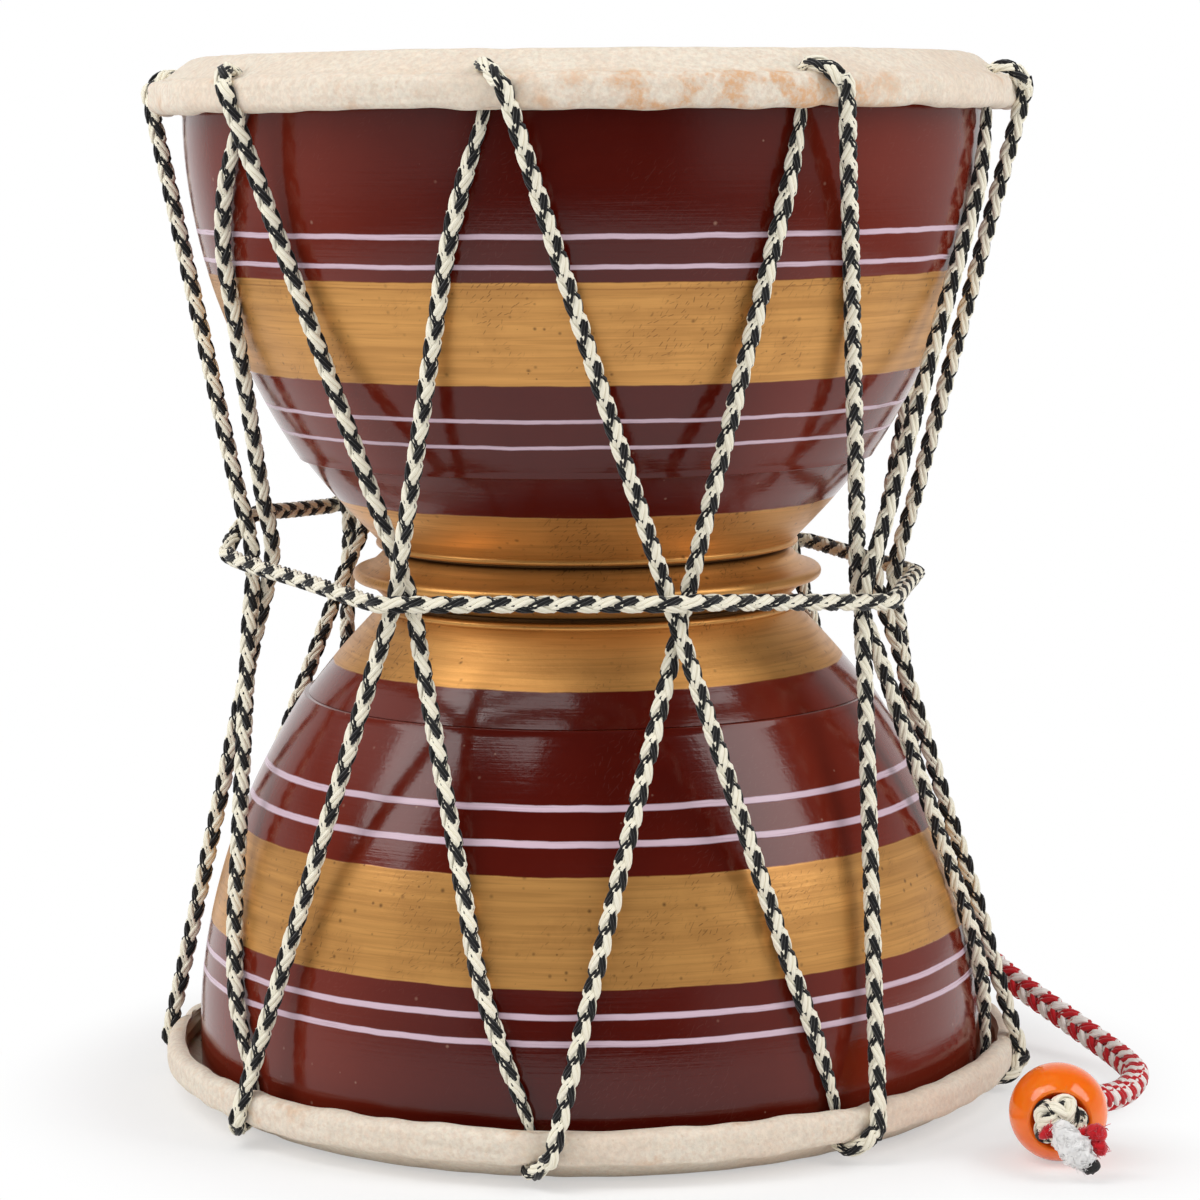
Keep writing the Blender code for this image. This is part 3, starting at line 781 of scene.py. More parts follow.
def noise(tree, vector, scale, detail=3.0, roughness=0.5):
    inputs = {"Vector": vector, "Scale": scale, "Detail": detail, "Roughness": roughness}
    return node(tree, "ShaderNodeTexNoise", inputs).outputs["Fac"]


def start_group(name, places, values, outputs):
    """A new node group with named sockets: its tree, what comes in and what goes out."""
    tree = bpy.data.node_groups.new(name, "ShaderNodeTree")
    for label in places:
        tree.interface.new_socket(label, in_out="INPUT", socket_type="NodeSocketVector")
    for label, default in values.items():
        socket = tree.interface.new_socket(label, in_out="INPUT", socket_type="NodeSocketFloat")
        socket.default_value = default
    for label in outputs:
        tree.interface.new_socket(label, in_out="OUTPUT", socket_type="NodeSocketFloat")
    return tree, tree.nodes.new("NodeGroupInput").outputs, tree.nodes.new("NodeGroupOutput").inputs


def placed(tree, group, **inputs):
    """A group's node in a material, with its own values."""
    return node(tree, "ShaderNodeGroup", inputs, node_tree=bpy.data.node_groups[group]).outputs


def make_band_group():
    """1 between two heights, with soft edges."""
    values = dict.fromkeys(("Height", "Low", "High", "Softness"), 0.0)
    tree, given, result = start_group("Painted band", [], values, ["Mask"])
    edges = []
    for name in ("Low", "High"):
        start = maths(tree, "SUBTRACT", given[name], given["Softness"])
        stop = maths(tree, "ADD", given[name], given["Softness"])
        edges.append(smooth_range(tree, given["Height"], start, stop))
    feed(tree, maths(tree, "SUBTRACT", *edges), result["Mask"])


def make_streak_group():
    """Streaks that run round a turned piece, or along a fibre."""
    values = {"Across": 10.0, "Along": 400.0}
    tree, given, result = start_group("Streaks", ["Position"], values, ["Streak", "Fine streak"])
    moved = stretched(tree, given["Position"], given["Across"], given["Along"])
    feed(tree, noise(tree, moved, 1.0, 3.0, 0.6), result["Streak"])
    feed(tree, noise(tree, moved, 3.7, 2.0, 0.6), result["Fine streak"])


def scattered_cells(tree, given):
    """Cells of uneven shape, and the chances that each of them draws."""
    inputs = {"Vector": given["Position"], "Scale": given["Scale"]}
    cells = node(tree, "ShaderNodeTexVoronoi", inputs).outputs
    return cells, node(tree, "ShaderNodeSeparateColor", {0: cells["Color"]}).outputs


def make_speck_group():
    """Small scattered specks. Density is the share of cells that hold one."""
    values = {"Scale": 300.0, "Size": 0.2, "Density": 0.3}
    tree, given, result = start_group("Specks", ["Position"], values, ["Mask"])
    cells, chance = scattered_cells(tree, given)
    size = times(tree, given["Size"], maths(tree, "ADD", chance[1], 0.3))
    near = smooth_range(tree, cells["Distance"], size, 0.0)
    held = maths(tree, "LESS_THAN", chance[0], given["Density"])
    feed(tree, times(tree, near, held), result["Mask"])


SCRATCH_LEAN = (-0.50, 0.0, 0.60)


def make_scratch_group():
    """Short straight scratches, one in some of the cells. Amount is the share of cells that hold one."""
    values = {"Scale": 200.0, "Amount": 0.3, "Width": 0.0001}
    tree, given, result = start_group("Scratches", ["Position"], values, ["Mask"])
    cells, chance = scattered_cells(tree, given)
    off = vectors(tree, "SUBTRACT", given["Position"], cells["Position"])["Vector"]
    spin = vectors(tree, "SUBTRACT", cells["Color"], (0.5, 0.5, 0.5))["Vector"]
    lean = vectors(tree, "ADD", spin, SCRATCH_LEAN)["Vector"]
    facing = vectors(tree, "NORMALIZE", lean)["Vector"]
    across = maths(tree, "ABSOLUTE", vectors(tree, "DOT_PRODUCT", off, facing)["Value"])
    mark = smooth_range(tree, across, given["Width"], 0.0)
    ends = smooth_range(tree, cells["Distance"], 0.55, 0.30)
    held = maths(tree, "LESS_THAN", chance[0], given["Amount"])
    feed(tree, times(tree, times(tree, mark, ends), held), result["Mask"])


def make_mottle_group():
    """Cloudy patches, with a softer and a finer scale."""
    values = {"Scale": 40.0, "Low": 0.4, "High": 0.65}
    tree, given, result = start_group("Mottle", ["Position"], values, ["Patch", "Grain"])
    cloud = noise(tree, given["Position"], given["Scale"], 6.0, 0.62)
    feed(tree, smooth_range(tree, cloud, given["Low"], given["High"]), result["Patch"])
    fine = times(tree, given["Scale"], 22.0)
    feed(tree, noise(tree, given["Position"], fine, 3.0, 0.7), result["Grain"])


def make_yarn_group():
    """The yarns in a strand, twisted along it, and the fuzz on them."""
    values = {"Count": 7.0, "Twist": 6.0}
    tree, given, result = start_group("Yarn", ["Yarn", "Position"], values, ["Ridge", "Fuzz"])
    parts = node(tree, "ShaderNodeSeparateXYZ", {0: given["Yarn"]}).outputs
    along = times(tree, parts["X"], given["Twist"])
    phase = times_plus(tree, parts["Y"], given["Count"], along)
    wave = maths(tree, "SINE", times(tree, phase, math.tau))
    feed(tree, times_plus(tree, wave, 0.5, 0.5), result["Ridge"])
    feed(tree, noise(tree, given["Position"], 2600.0, 3.0, 0.7), result["Fuzz"])


def make_groups():
    make_band_group()
    make_streak_group()
    make_speck_group()
    make_scratch_group()
    make_mottle_group()
    make_yarn_group()


def start_material(name):
    """A new material: its tree, its shader's inputs, and the position that its pattern follows."""
    material = bpy.data.materials.new(name)
    material.use_nodes = True
    tree = material.node_tree
    shader = tree.nodes["Principled BSDF"].inputs
    place = node(tree, "ShaderNodeTexCoord").outputs["Object"]
    return material, tree, shader, place


def coat(tree, shader, colour, roughness, relief, depth, plain=None):
    """Gives a shader its colour, roughness and relief, and the values that are the same all over."""
    feed(tree, colour, shader["Base Color"])
    feed(tree, roughness, shader["Roughness"])
    inputs = {"Height": relief, "Distance": depth, "Strength": 1.0}
    feed(tree, node(tree, "ShaderNodeBump", inputs).outputs[0], shader["Normal"])
    for name, value in (plain or {}).items():
        shader[name].default_value = value


def shaded(tree, colour, level):
    """A colour made darker or lighter by a level that changes over the surface."""
    tone = node(tree, "ShaderNodeCombineColor", {0: level, 1: level, 2: level}).outputs[0]
    return blend_colour(tree, 1.0, colour, tone, "MULTIPLY")


def opaque(colour):
    return (*colour, 1.0)


def from_axis(tree, parts):
    """How far a point is from the drum's axis."""
    square = times(tree, parts["Y"], parts["Y"])
    return maths(tree, "SQRT", times_plus(tree, parts["X"], parts["X"], square))


def on_bands(tree, height, bands, softness):
    """1 on any of some bands, which are given by the heights of their edges."""
    masks = []
    for low, high in bands:
        inputs = {"Height": height, "Low": low, "High": high, "Softness": softness}
        masks.append(placed(tree, "Painted band", **inputs)["Mask"])
    return most(tree, *masks)


# The lacquer is painted darker over the front, as painted shade, and redder from the second of these on, as
# painted light from the sides; they are the share of a direction from the axis that lies along Y.
FRONT_SHADE_SPAN = (-1.0, -0.73)
BAND_DRIFT = 0.0007
DUST = (0.42, 0.24, 0.17, 1.0)
SCRATCHED_LACQUER = (0.40, 0.22, 0.18, 1.0)
PITTED_GOLD = (0.12, 0.05, 0.015, 1.0)
RUBBED_GOLD = (0.30, 0.125, 0.03, 1.0)
SCRATCHED_GOLD = (0.17, 0.07, 0.02, 1.0)
COAT_EDGE_GOLD = (0.30, 0.12, 0.03, 1.0)
# Painted shade: dark brown in the grooves either side of the waist collar, where shade falls.
GROOVE_SHADE = (0.045, 0.017, 0.004, 1.0)


def painted_wood(look):
    """Maroon lacquer with gold bands and thin lines, all put on while the wood turned, with painted shade
    over the front, painted light at the sides and painted shade in the waist's grooves.
    """
    material, tree, shader, place = start_material("painted_wood")
    parts = node(tree, "ShaderNodeSeparateXYZ", {0: place}).outputs
    drift = maths(tree, "SUBTRACT", noise(tree, place, 90.0, 3.0), 0.5)
    painted = times_plus(tree, drift, BAND_DRIFT, parts["Z"])
    level = maths(tree, "ABSOLUTE", maths(tree, "SUBTRACT", parts["Z"], WAIST_HEIGHT))
    thin_lines = [(middle - width / 2, middle + width / 2) for middle, width in LINES]
    coat_top = GOLD_BANDS[-1][1] - COAT_EDGE
    gold_mask = on_bands(tree, painted, GOLD_BANDS, 0.00016)
    waist_mask = on_bands(tree, painted, GOLD_BANDS[1:2], 0.0004)
    line_mask = on_bands(tree, painted, thin_lines, 0.00014)
    coat_mask = on_bands(tree, painted, [(coat_top - COAT_EDGE_WIDTH, coat_top)], 0.00012)
    # Painted shade in the grooves beside the collar.
    groove_shade_mask = on_bands(tree, level, [(GROOVE_FROM, GROOVE_TO)], 0.00025)

    rings = placed(tree, "Streaks", Position=place, Across=14.0, Along=520.0)
    broad = placed(tree, "Streaks", Position=place, Across=9.0, Along=110.0)
    brush = placed(tree, "Streaks", Position=place, Across=45.0, Along=1900.0)
    mottle = placed(tree, "Mottle", Position=place, Scale=28.0, Low=0.3, High=0.72)
    rubbed = placed(tree, "Mottle", Position=place, Scale=38.0, Low=0.47, High=0.60)["Patch"]
    dust = placed(tree, "Specks", Position=place, Scale=330.0, Size=0.16, Density=0.10)["Mask"]
    pits = placed(tree, "Specks", Position=place, Scale=640.0, Size=0.34, Density=0.28)["Mask"]
    long = placed(tree, "Scratches", Position=place, Scale=260.0, Amount=0.25, Width=0.00012)["Mask"]
    hatch = placed(tree, "Scratches", Position=place, Scale=780.0, Amount=0.80, Width=0.00013)["Mask"]
    scratch = times(tree, most(tree, long, hatch), rubbed)

    grain = times_plus(tree, broad["Streak"], 0.6, times(tree, mottle["Patch"], 0.4))
    # Painted shade and painted light: darker over the front, redder towards the sides and back, by
    # direction round the axis.
    away = smooth_range(tree, maths(tree, "DIVIDE", parts["Y"], from_axis(tree, parts)), *FRONT_SHADE_SPAN)
    side_light_and_grain = times_plus(tree, away, 0.60, times(tree, grain, 0.25))
    red = blend_colour(tree, side_light_and_grain, opaque(look.lacquer), opaque(look.lacquer_side_light))
    for mask, weight, colour in ((dust, 0.55, DUST), (scratch, 0.05, SCRATCHED_LACQUER)):
        red = blend_colour(tree, times(tree, mask, weight), red, colour)

    worn_gold = opaque(look.gold_worn)
    brushed = smooth_range(tree, rings["Streak"], 0.15, 0.75)
    gold = blend_colour(tree, brushed, worn_gold, opaque(look.gold))
    gold = blend_colour(tree, smooth_range(tree, brush["Streak"], 0.48, 0.66, 0.0, 0.65), gold, worn_gold)
    thin = smooth_range(tree, broad["Fine streak"], 0.60, 0.85)
    speckled = smooth_range(tree, mottle["Patch"], 0.1, 0.8, 0.30, 0.85)
    for mask, weight, colour in (
        (thin, 0.35, worn_gold),
        (pits, speckled, PITTED_GOLD),
        (rubbed, 0.22, RUBBED_GOLD),
        (scratch, 0.80, SCRATCHED_GOLD),
        (coat_mask, 0.5, COAT_EDGE_GOLD),
        (groove_shade_mask, 0.85, GROOVE_SHADE),
    ):
        gold = blend_colour(tree, times(tree, mask, weight), gold, colour)

    cover = times(tree, line_mask, smooth_range(tree, rings["Fine streak"], 0.2, 0.5, 0.7, 1.0))
    base = blend_colour(tree, cover, blend_colour(tree, gold_mask, red, gold), opaque(look.line))
    feed(tree, times_plus(tree, waist_mask, 0.20, times(tree, gold_mask, 0.48)), shader["Metallic"])
    shine = times_plus(tree, rings["Fine streak"], 0.09, 0.09)
    satin = times_plus(tree, waist_mask, 0.03, times_plus(tree, brush["Streak"], 0.16, 0.27))
    rough = node(tree, "ShaderNodeMix", {0: gold_mask, 2: shine, 3: satin}).outputs[0]
    rough = times_plus(tree, line_mask, 0.15, rough)
    lathe = times_plus(tree, rings["Streak"], 0.5, times(tree, rings["Fine streak"], 0.5))
    lathe = times_plus(tree, noise(tree, place, 850.0, 2.0), 0.5, lathe)
    raised = times_plus(tree, line_mask, 1.4, times(tree, gold_mask, 0.7))
    worn = times_plus(tree, scratch, -0.35, times(tree, pits, -0.5))
    relief = times_plus(tree, worn, gold_mask, maths(tree, "ADD", lathe, raised))
    coat(tree, shader, base, rough, relief, 0.00004, {"Specular IOR Level": 0.36})
    return material


STAIN_AZIMUTH = 20
STAIN_HEIGHT = 0.2085
STAIN_REACH = (0.050, 0.018)
ROLL_FROM = RIM_RADIUS + 0.002
ROLL_TO = HOOP_RADIUS + 0.001


def goat_skin(look):
    """Dried hide: cream, mottled, grainy, and stained where it was rolled."""
    material, tree, shader, place = start_material("goat_skin")
    hide, blush, tan = opaque(look.hide), opaque(look.blush), opaque(look.stain)
    clouds = placed(tree, "Mottle", Position=place, Scale=36.0, Low=0.42, High=0.70)
    blotch = placed(tree, "Mottle", Position=place, Scale=85.0, Low=0.55, High=0.74)
    fleck = placed(tree, "Mottle", Position=place, Scale=1000.0, Low=0.44, High=0.60)["Patch"]
    spread = placed(tree, "Mottle", Position=place, Scale=170.0, Low=0.44, High=0.60)["Patch"]
    hairs = placed(tree, "Specks", Position=place, Scale=760.0, Size=0.22, Density=0.25)["Mask"]
    parts = node(tree, "ShaderNodeSeparateXYZ", {0: place}).outputs
    rolled = smooth_range(tree, from_axis(tree, parts), ROLL_FROM, ROLL_TO)
    away = vectors(tree, "DISTANCE", place, at(HOOP_RADIUS, STAIN_AZIMUTH, STAIN_HEIGHT))["Value"]
    soaked = times(tree, smooth_range(tree, away, *STAIN_REACH), rolled)
    grainy = smooth_range(tree, clouds["Grain"], 0.30, 0.62, 0.25, 1.0)
    soaked = times(tree, times(tree, spread, soaked), grainy)
    stain = times(tree, blotch["Patch"], times_plus(tree, rolled, 0.60, 0.08))
    stain = most(tree, stain, times(tree, soaked, 0.95))
    base = blend_colour(tree, times(tree, clouds["Patch"], 0.55), hide, blush)
    base = blend_colour(tree, times(tree, fleck, 0.50), base, blush)
    base = blend_colour(tree, stain, base, tan)
    base = blend_colour(tree, times(tree, hairs, 0.30), base, tan)
    base = shaded(tree, base, smooth_range(tree, clouds["Grain"], 0.25, 0.75, 0.90, 1.06))
    rough = smooth_range(tree, clouds["Grain"], 0.3, 0.7, 0.68, 0.86)
    grain = times_plus(tree, clouds["Grain"], 0.7, times(tree, blotch["Grain"], 0.5))
    plain = {
        "Specular IOR Level": 0.3,
        "Subsurface Weight": 0.08,
        "Subsurface Radius": (1.0, 0.55, 0.35),
        "Subsurface Scale": 0.0015,
    }
    coat(tree, shader, base, rough, times_plus(tree, hairs, -0.4, grain), 0.00022, plain)
    return material


CANE_DARK = (0.36, 0.22, 0.10, 1.0)
CANE_PALE = (0.66, 0.48, 0.26, 1.0)


def split_cane():
    """Split cane, streaked along its length."""
    material, tree, shader, place = start_material("split_cane")
    fibre = placed(tree, "Streaks", Position=place, Across=30.0, Along=900.0)
    base = blend_colour(tree, fibre["Streak"], CANE_DARK, CANE_PALE)
    rough = smooth_range(tree, fibre["Fine streak"], 0.3, 0.7, 0.45, 0.7)
    coat(tree, shader, base, rough, fibre["Streak"], 0.0001)
    return material


def yarn(name, colour, soil):
    """Braided yarn: ridged, fuzzy and a little soiled, with painted shade between its plies."""
    material, tree, shader, place = start_material(name)
    layer = node(tree, "ShaderNodeUVMap", uv_map="yarn").outputs[0]
    ply = placed(tree, "Yarn", Yarn=layer, Position=place, Count=5.0, Twist=5.0)
    dirt = placed(tree, "Mottle", Position=place, Scale=150.0, Low=0.35, High=0.75)["Patch"]
    base = blend_colour(tree, times(tree, dirt, 0.12), opaque(colour), soil)
    # Painted shade: darker in the grooves between the twisted plies.
    base = shaded(tree, base, smooth_range(tree, ply["Ridge"], 0.0, 0.6, 0.92, 1.0))
    rough = smooth_range(tree, ply["Fuzz"], 0.3, 0.7, 0.75, 0.95)
    plain = {"Sheen Weight": 0.32, "Sheen Roughness": 0.5, "Specular IOR Level": 0.25}
    coat(tree, shader, base, rough, times_plus(tree, ply["Fuzz"], 0.5, ply["Ridge"]), 0.00003, plain)
    return material


def fluff(name, colour):
    """Loose fibres that let light through."""
    material, tree, shader, place = start_material(name)
    tufts = placed(tree, "Mottle", Position=place, Scale=260.0, Low=0.30, High=0.75)
    base = shaded(tree, opaque(colour), smooth_range(tree, tufts["Patch"], 0.0, 1.0, 0.92, 1.0))
    rough = smooth_range(tree, tufts["Grain"], 0.3, 0.7, 0.8, 1.0)
    plain = {
        "Subsurface Weight": 0.5,
        "Subsurface Radius": (1.0, 1.0, 1.0),
        "Subsurface Scale": 0.0012,
        "Sheen Weight": 0.4,
        "Specular IOR Level": 0.1,
    }
    coat(tree, shader, base, rough, tufts["Grain"], 0.00002, plain)
    return material


def bead_plastic(look):
    """Moulded orange plastic, glossy and a little translucent."""
    material, tree, shader, place = start_material("bead_plastic")
    swirl = placed(tree, "Mottle", Position=place, Scale=140.0, Low=0.35, High=0.75)["Patch"]
    rub = placed(tree, "Scratches", Position=place, Scale=420.0, Amount=0.5, Width=0.00006)["Mask"]
    base = blend_colour(tree, times(tree, swirl, 0.5), opaque(look.bead), opaque(look.bead_pale))
    rough = times_plus(tree, rub, 0.15, 0.10)
    plain = {
        "Subsurface Weight": 0.45,
        "Subsurface Radius": (1.0, 0.30, 0.06),
        "Subsurface Scale": 0.006,
    }
    coat(tree, shader, base, rough, times(tree, rub, -1.0), 0.00001, plain)
    return material


BURNT_CRUST = (0.035, 0.028, 0.026, 1.0)


def burnt_end(look):
    """Fibres melted into a hard black lump."""
    material, tree, shader, place = start_material("burnt_end")
    crust = placed(tree, "Mottle", Position=place, Scale=420.0, Low=0.4, High=0.7)
    base = blend_colour(tree, crust["Patch"], opaque(look.burnt), BURNT_CRUST)
    rough = smooth_range(tree, crust["Grain"], 0.3, 0.7, 0.35, 0.7)
    coat(tree, shader, base, rough, crust["Grain"], 0.00015)
    return material


# Pieces

WALL_START = 0.001


def bowl_outline(head):
    """One closed wall as (radius, depth): lip, outside, shoulder, socket for the spigot, and the hollow."""
    seam = seam_depth(head) + SEAM_CLOSE
    lip_centre = (RIM_RADIUS - LIP_ROUND, LIP_DEPTH + LIP_ROUND)
    outline = arc(lip_centre, LIP_ROUND, LIP_ROUND, 90, 0, LIP_STEPS)
    for depth in np.linspace(outline[-1][1] + WALL_START, seam - SHOULDER_ROUND, WALL_STEPS):
        outline.append((bowl_radius(head, depth), depth))
    shoulder = (outline[-1][0] - SHOULDER_ROUND, seam - SHOULDER_ROUND)
    outline += arc(shoulder, SHOULDER_ROUND, SHOULDER_ROUND, 0, -90, SHOULDER_STEPS)[1:]
    socket = SPIGOT_RADIUS + FIT_GAP
    floor = seam - SPIGOT_HEIGHT - FIT_GAP
    inner_rim = RIM_RADIUS - RIM_WALL
    outline += [(socket, seam), (socket, floor)]
    hollow = BOWL_CURVE_RISE - SPIGOT_HEIGHT
    for outward in np.linspace(0, 1, HOLLOW_STEPS)[1:]:
        radius = inner_rim - (inner_rim - socket) * (1 - outward) ** 2
        outline.append((radius, floor - hollow * outward))
    return outline + [(inner_rim, LIP_DEPTH)]


FOOT_BEAD_TURN = (70, -80)
FOOT_BEAD_SINK = 0.3
SLIT_TOP = 0.0004
SLIT_FLOOR = 0.0002
COLLAR_TURNS = (60, 40, 20, 0)


def spool_outline():
    """Spigot, cone, foot bead, groove and collar, mirrored below the waist, and the bore."""
    end = SEAM_OFFSET + SPIGOT_HEIGHT
    foot = NECK_OFFSET + GROOVE_WIDTH / 2
    neck = NECK_OFFSET - GROOVE_WIDTH / 2
    upper = [(SPIGOT_RADIUS, end), (SPIGOT_RADIUS, SEAM_OFFSET)]
    for share in np.linspace(0, 1, CONE_STEPS):
        radius = CONE_RADIUS + (CONE_FOOT_RADIUS - CONE_RADIUS) * share
        bulge = CONE_BULGE * math.sin(math.pi * share)
        upper.append((radius + bulge, SEAM_OFFSET + (foot - SEAM_OFFSET) * share))
    for turn in np.linspace(*FOOT_BEAD_TURN, FOOT_BEAD_STEPS):
        lean = math.radians(turn)
        radius = CONE_FOOT_RADIUS + FOOT_BEAD * (math.cos(lean) - FOOT_BEAD_SINK)
        upper.append((radius, foot - FOOT_BEAD * (1 - math.sin(lean))))
    slit = NECK_RADIUS - GROOVE_SINK
    upper += [(slit, NECK_OFFSET - SLIT_TOP), (slit, neck + SLIT_FLOOR)]
    edge = (COLLAR_RADIUS - COLLAR_ROUND, COLLAR_ROUND)
    for share in np.linspace(0, 1, COLLAR_STEPS)[1:]:
        radius = NECK_RADIUS + (edge[0] - NECK_RADIUS) * share
        sag = COLLAR_SAG * math.sin(math.pi * share)
        upper.append((radius, neck + (edge[1] - neck) * share - sag))
    for turn in COLLAR_TURNS:
        lean = math.radians(turn)
        upper.append((edge[0] + COLLAR_ROUND * math.cos(lean), COLLAR_ROUND * math.sin(lean)))
    lower = [(radius, -rise) for radius, rise in upper[-2::-1]]
    flare = SPIGOT_RADIUS - SPIGOT_WALL
    bore = [(flare, -end), (BORE_RADIUS, -BORE_LENGTH / 2), (BORE_RADIUS, BORE_LENGTH / 2), (flare, end)]
    return upper + lower + bore


# Ripples: how many, how often each goes round, and how fast it changes upwards or along the section
WOOD_DRIFT = (9, (1, 7), (60.0, 240.0))
BROAD_LUMPS = (8, (3, 13), (60.0, 300.0))
SMALL_LUMPS = (12, (20, 60), (150.0, 700.0))
CREASE_WANDER = (5, (1, 6), (0.0, 0.0))
CREASE_PATCHES = (5, (2, 7), (0.0, 0.0))
EDGE_WANDER = (9, (4, 26), (0.0, 0.0))


def turned_wood(name, outline, seed, look, material):
    """A turned wooden piece whose outside wanders a little."""
    drift = ripples(seed, *WOOD_DRIFT)

    def swell(turn, height):
        return look.unevenness * drift(turn, height)

    shell = Shell()
    shell.add_rings(turned_rings(outline, WOOD_STEPS, swell), True)
    return shell.piece(name, [material], WOOD_CREASE)


ROLL_SQUARENESS = 0.11
SKIN_MIDDLE = 0.00001


def squared(centre, points):
    """Points round a centre, pushed out between its upright and level directions."""
    pushed = []
    for point in points:
        across, along = point[0] - centre[0], point[1] - centre[1]
        out = 1 + ROLL_SQUARENESS * math.sin(2 * math.atan2(along, across)) ** 2
        pushed.append((centre[0] + across * out, centre[1] + along * out))
    return pushed


def skin_section():
    """The hide's section: points (radius, depth), and how freely each swells, all round its edge."""
    lip_centre = (RIM_RADIUS - LIP_ROUND, LIP_DEPTH + LIP_ROUND)
    hoop_centre = (HOOP_RADIUS, HOOP_DEPTH)
    wide = HOOP_WIDTH / 2 + FIT_GAP
    tall = HOOP_HEIGHT / 2 + FIT_GAP
    over = LIP_ROUND + FIT_GAP
    thick = SKIN_THICKNESS
    top = (SKIN_MIDDLE, 0.0)
    lip = arc(lip_centre, over + thick, over + thick, 90, LIP_WRAP_ANGLE, SKIN_LIP_STEPS)
    wrap = (SKIN_WRAP_FROM, SKIN_WRAP_TO)
    roll = squared(hoop_centre, arc(hoop_centre, wide + thick, tall + thick, *wrap, SKIN_ROLL_STEPS))
    inner_roll = arc(hoop_centre, wide, tall, *wrap[::-1], INNER_ROLL_STEPS)
    inner_lip = arc(lip_centre, over, over, LIP_WRAP_ANGLE, 90, INNER_LIP_STEPS)
    runs = (
        ([top, *line(top, lip[0], 22)], 0.10),
        (lip, 0.25),
        (line(lip[-1], roll[0], 7), 0.6),
        (roll, 1.0),
        (line(roll[-1], inner_roll[0], 3), 0.8),
        (inner_roll, 0.0),
        (inner_lip, 0.0),
        (line(inner_lip[-1], (SKIN_MIDDLE, thick), 10) + [(SKIN_MIDDLE, thick)], 0.0),
    )
    points = [point for run, _ in runs for point in run]
    freedom = [free for run, free in runs for _ in run]
    return np.array(points), np.array(freedom)


HOLE_PIT = 0.0011
HOLE_WIDTH = 0.0016
DENT_WIDTH = 0.0022
LUMP_SHARES = (0.65, 0.45)
CREASE_DEPTH = 0.00028
CREASE_WIDTH = 0.035
CREASE_MIDDLE = 0.5
CREASE_STRAY = 0.2
EDGE_FREE_FROM = 0.55
EDGE_FREEDOM = 0.7
SKIN_SEEDS = {"upper": 20, "lower": 30}


def turned_from(turn, azimuth):
    """How far turns are from an azimuth, from half a turn before it to half a turn after."""
    return (turn - math.radians(azimuth) + math.pi) % math.tau - math.pi


def stretched_skin(head, seed, look, material):
    """A hide on its hoop: a lumpy rolled edge, pressed in under the lacing and pulled down at the holes."""
    face, way = HEADS[head]
    section, freedom = skin_section()
    around = np.roll(section, -1, axis=0) - np.roll(section, 1, axis=0)
    normal = normalised(np.stack((around[:, 1], -around[:, 0]), axis=-1))
    turn = (np.arange(SKIN_STEPS) * math.tau / SKIN_STEPS)[:, None]
    radius, depth = section.T
    run = np.cumsum(np.linalg.norm(np.diff(section, axis=0, prepend=section[:1]), axis=1))

    broad = ripples(seed, *BROAD_LUMPS)(turn, run)
    small = ripples(seed + 1, *SMALL_LUMPS)(turn, run)
    swell = look.lumps * freedom * (LUMP_SHARES[0] * broad + LUMP_SHARES[1] * small)
    crease_run = CREASE_MIDDLE + CREASE_STRAY * ripples(seed + 2, *CREASE_WANDER)(turn, run)
    on_roll = np.where(freedom == 1.0, run, np.nan)
    share = (run - np.nanmin(on_roll)) / (np.nanmax(on_roll) - np.nanmin(on_roll))
    crease = np.exp(-(((share - crease_run) / CREASE_WIDTH) ** 2)) * (freedom == 1.0)
    patchy = np.clip(ripples(seed + 3, *CREASE_PATCHES)(turn, run), 0.0, 1.0)
    swell = swell - CREASE_DEPTH * crease * patchy

    hole_radius = (RIM_RADIUS + HOOP_RADIUS - HOOP_WIDTH / 2) / 2 + FIT_GAP
    for azimuth in AZIMUTHS[head]:
        off = turned_from(turn, azimuth)
        swell = swell - CORD_DENT * freedom * np.exp(-((off * HOOP_RADIUS / DENT_WIDTH) ** 2))
        hole = turned_from(turn, azimuth - LACING_SLANT / 2)
        away = np.hypot(hole * hole_radius, radius - hole_radius)
        swell = swell - HOLE_PIT * np.exp(-((away / HOLE_WIDTH) ** 2)) * (freedom > 0) * (freedom < 1)

    wander = look.edge_waves * ripples(seed + 4, *EDGE_WANDER)(turn, run)
    low = np.clip((share - EDGE_FREE_FROM) / (1 - EDGE_FREE_FROM), 0.0, 1.0) * (freedom > EDGE_FREEDOM)
    out = radius + swell * normal[:, 0]
    deep = depth + swell * normal[:, 1] + wander * low
    rings = np.stack((out * np.sin(turn), -out * np.cos(turn), face + way * deep), axis=-1)
    shell = Shell()
    shell.add_rings(rings, True)
    return shell.piece(head + "_skin_hide", [material], SKIN_CREASE)


def lacing_piece(name, points, shares, closed, look, solid):
    """A piece of the lacing cord along a route, in the place of its solid."""
    path, thickness = smooth_path(points, shares, BRAID_SPACING, closed)
    fullness = (look.cream_fullness, look.black_fullness)
    shell = Shell()
    braid(shell, path, thickness, closed, LACE_DIAMETER / 2, look.pitch, fullness)
    return dress(shell.piece(name, lace_materials(look)), "drum", solid)


KNOT_CORD_SHARE = 0.66
KNOT_TURNS = 2.0
KNOT_TURN_STEPS = 10
KNOT_STEP = 0.0026
KNOT_END = 0.0080
KNOT_END_LEAN = (0.75, 0.6)
KNOT_END_BEND = 0.0006


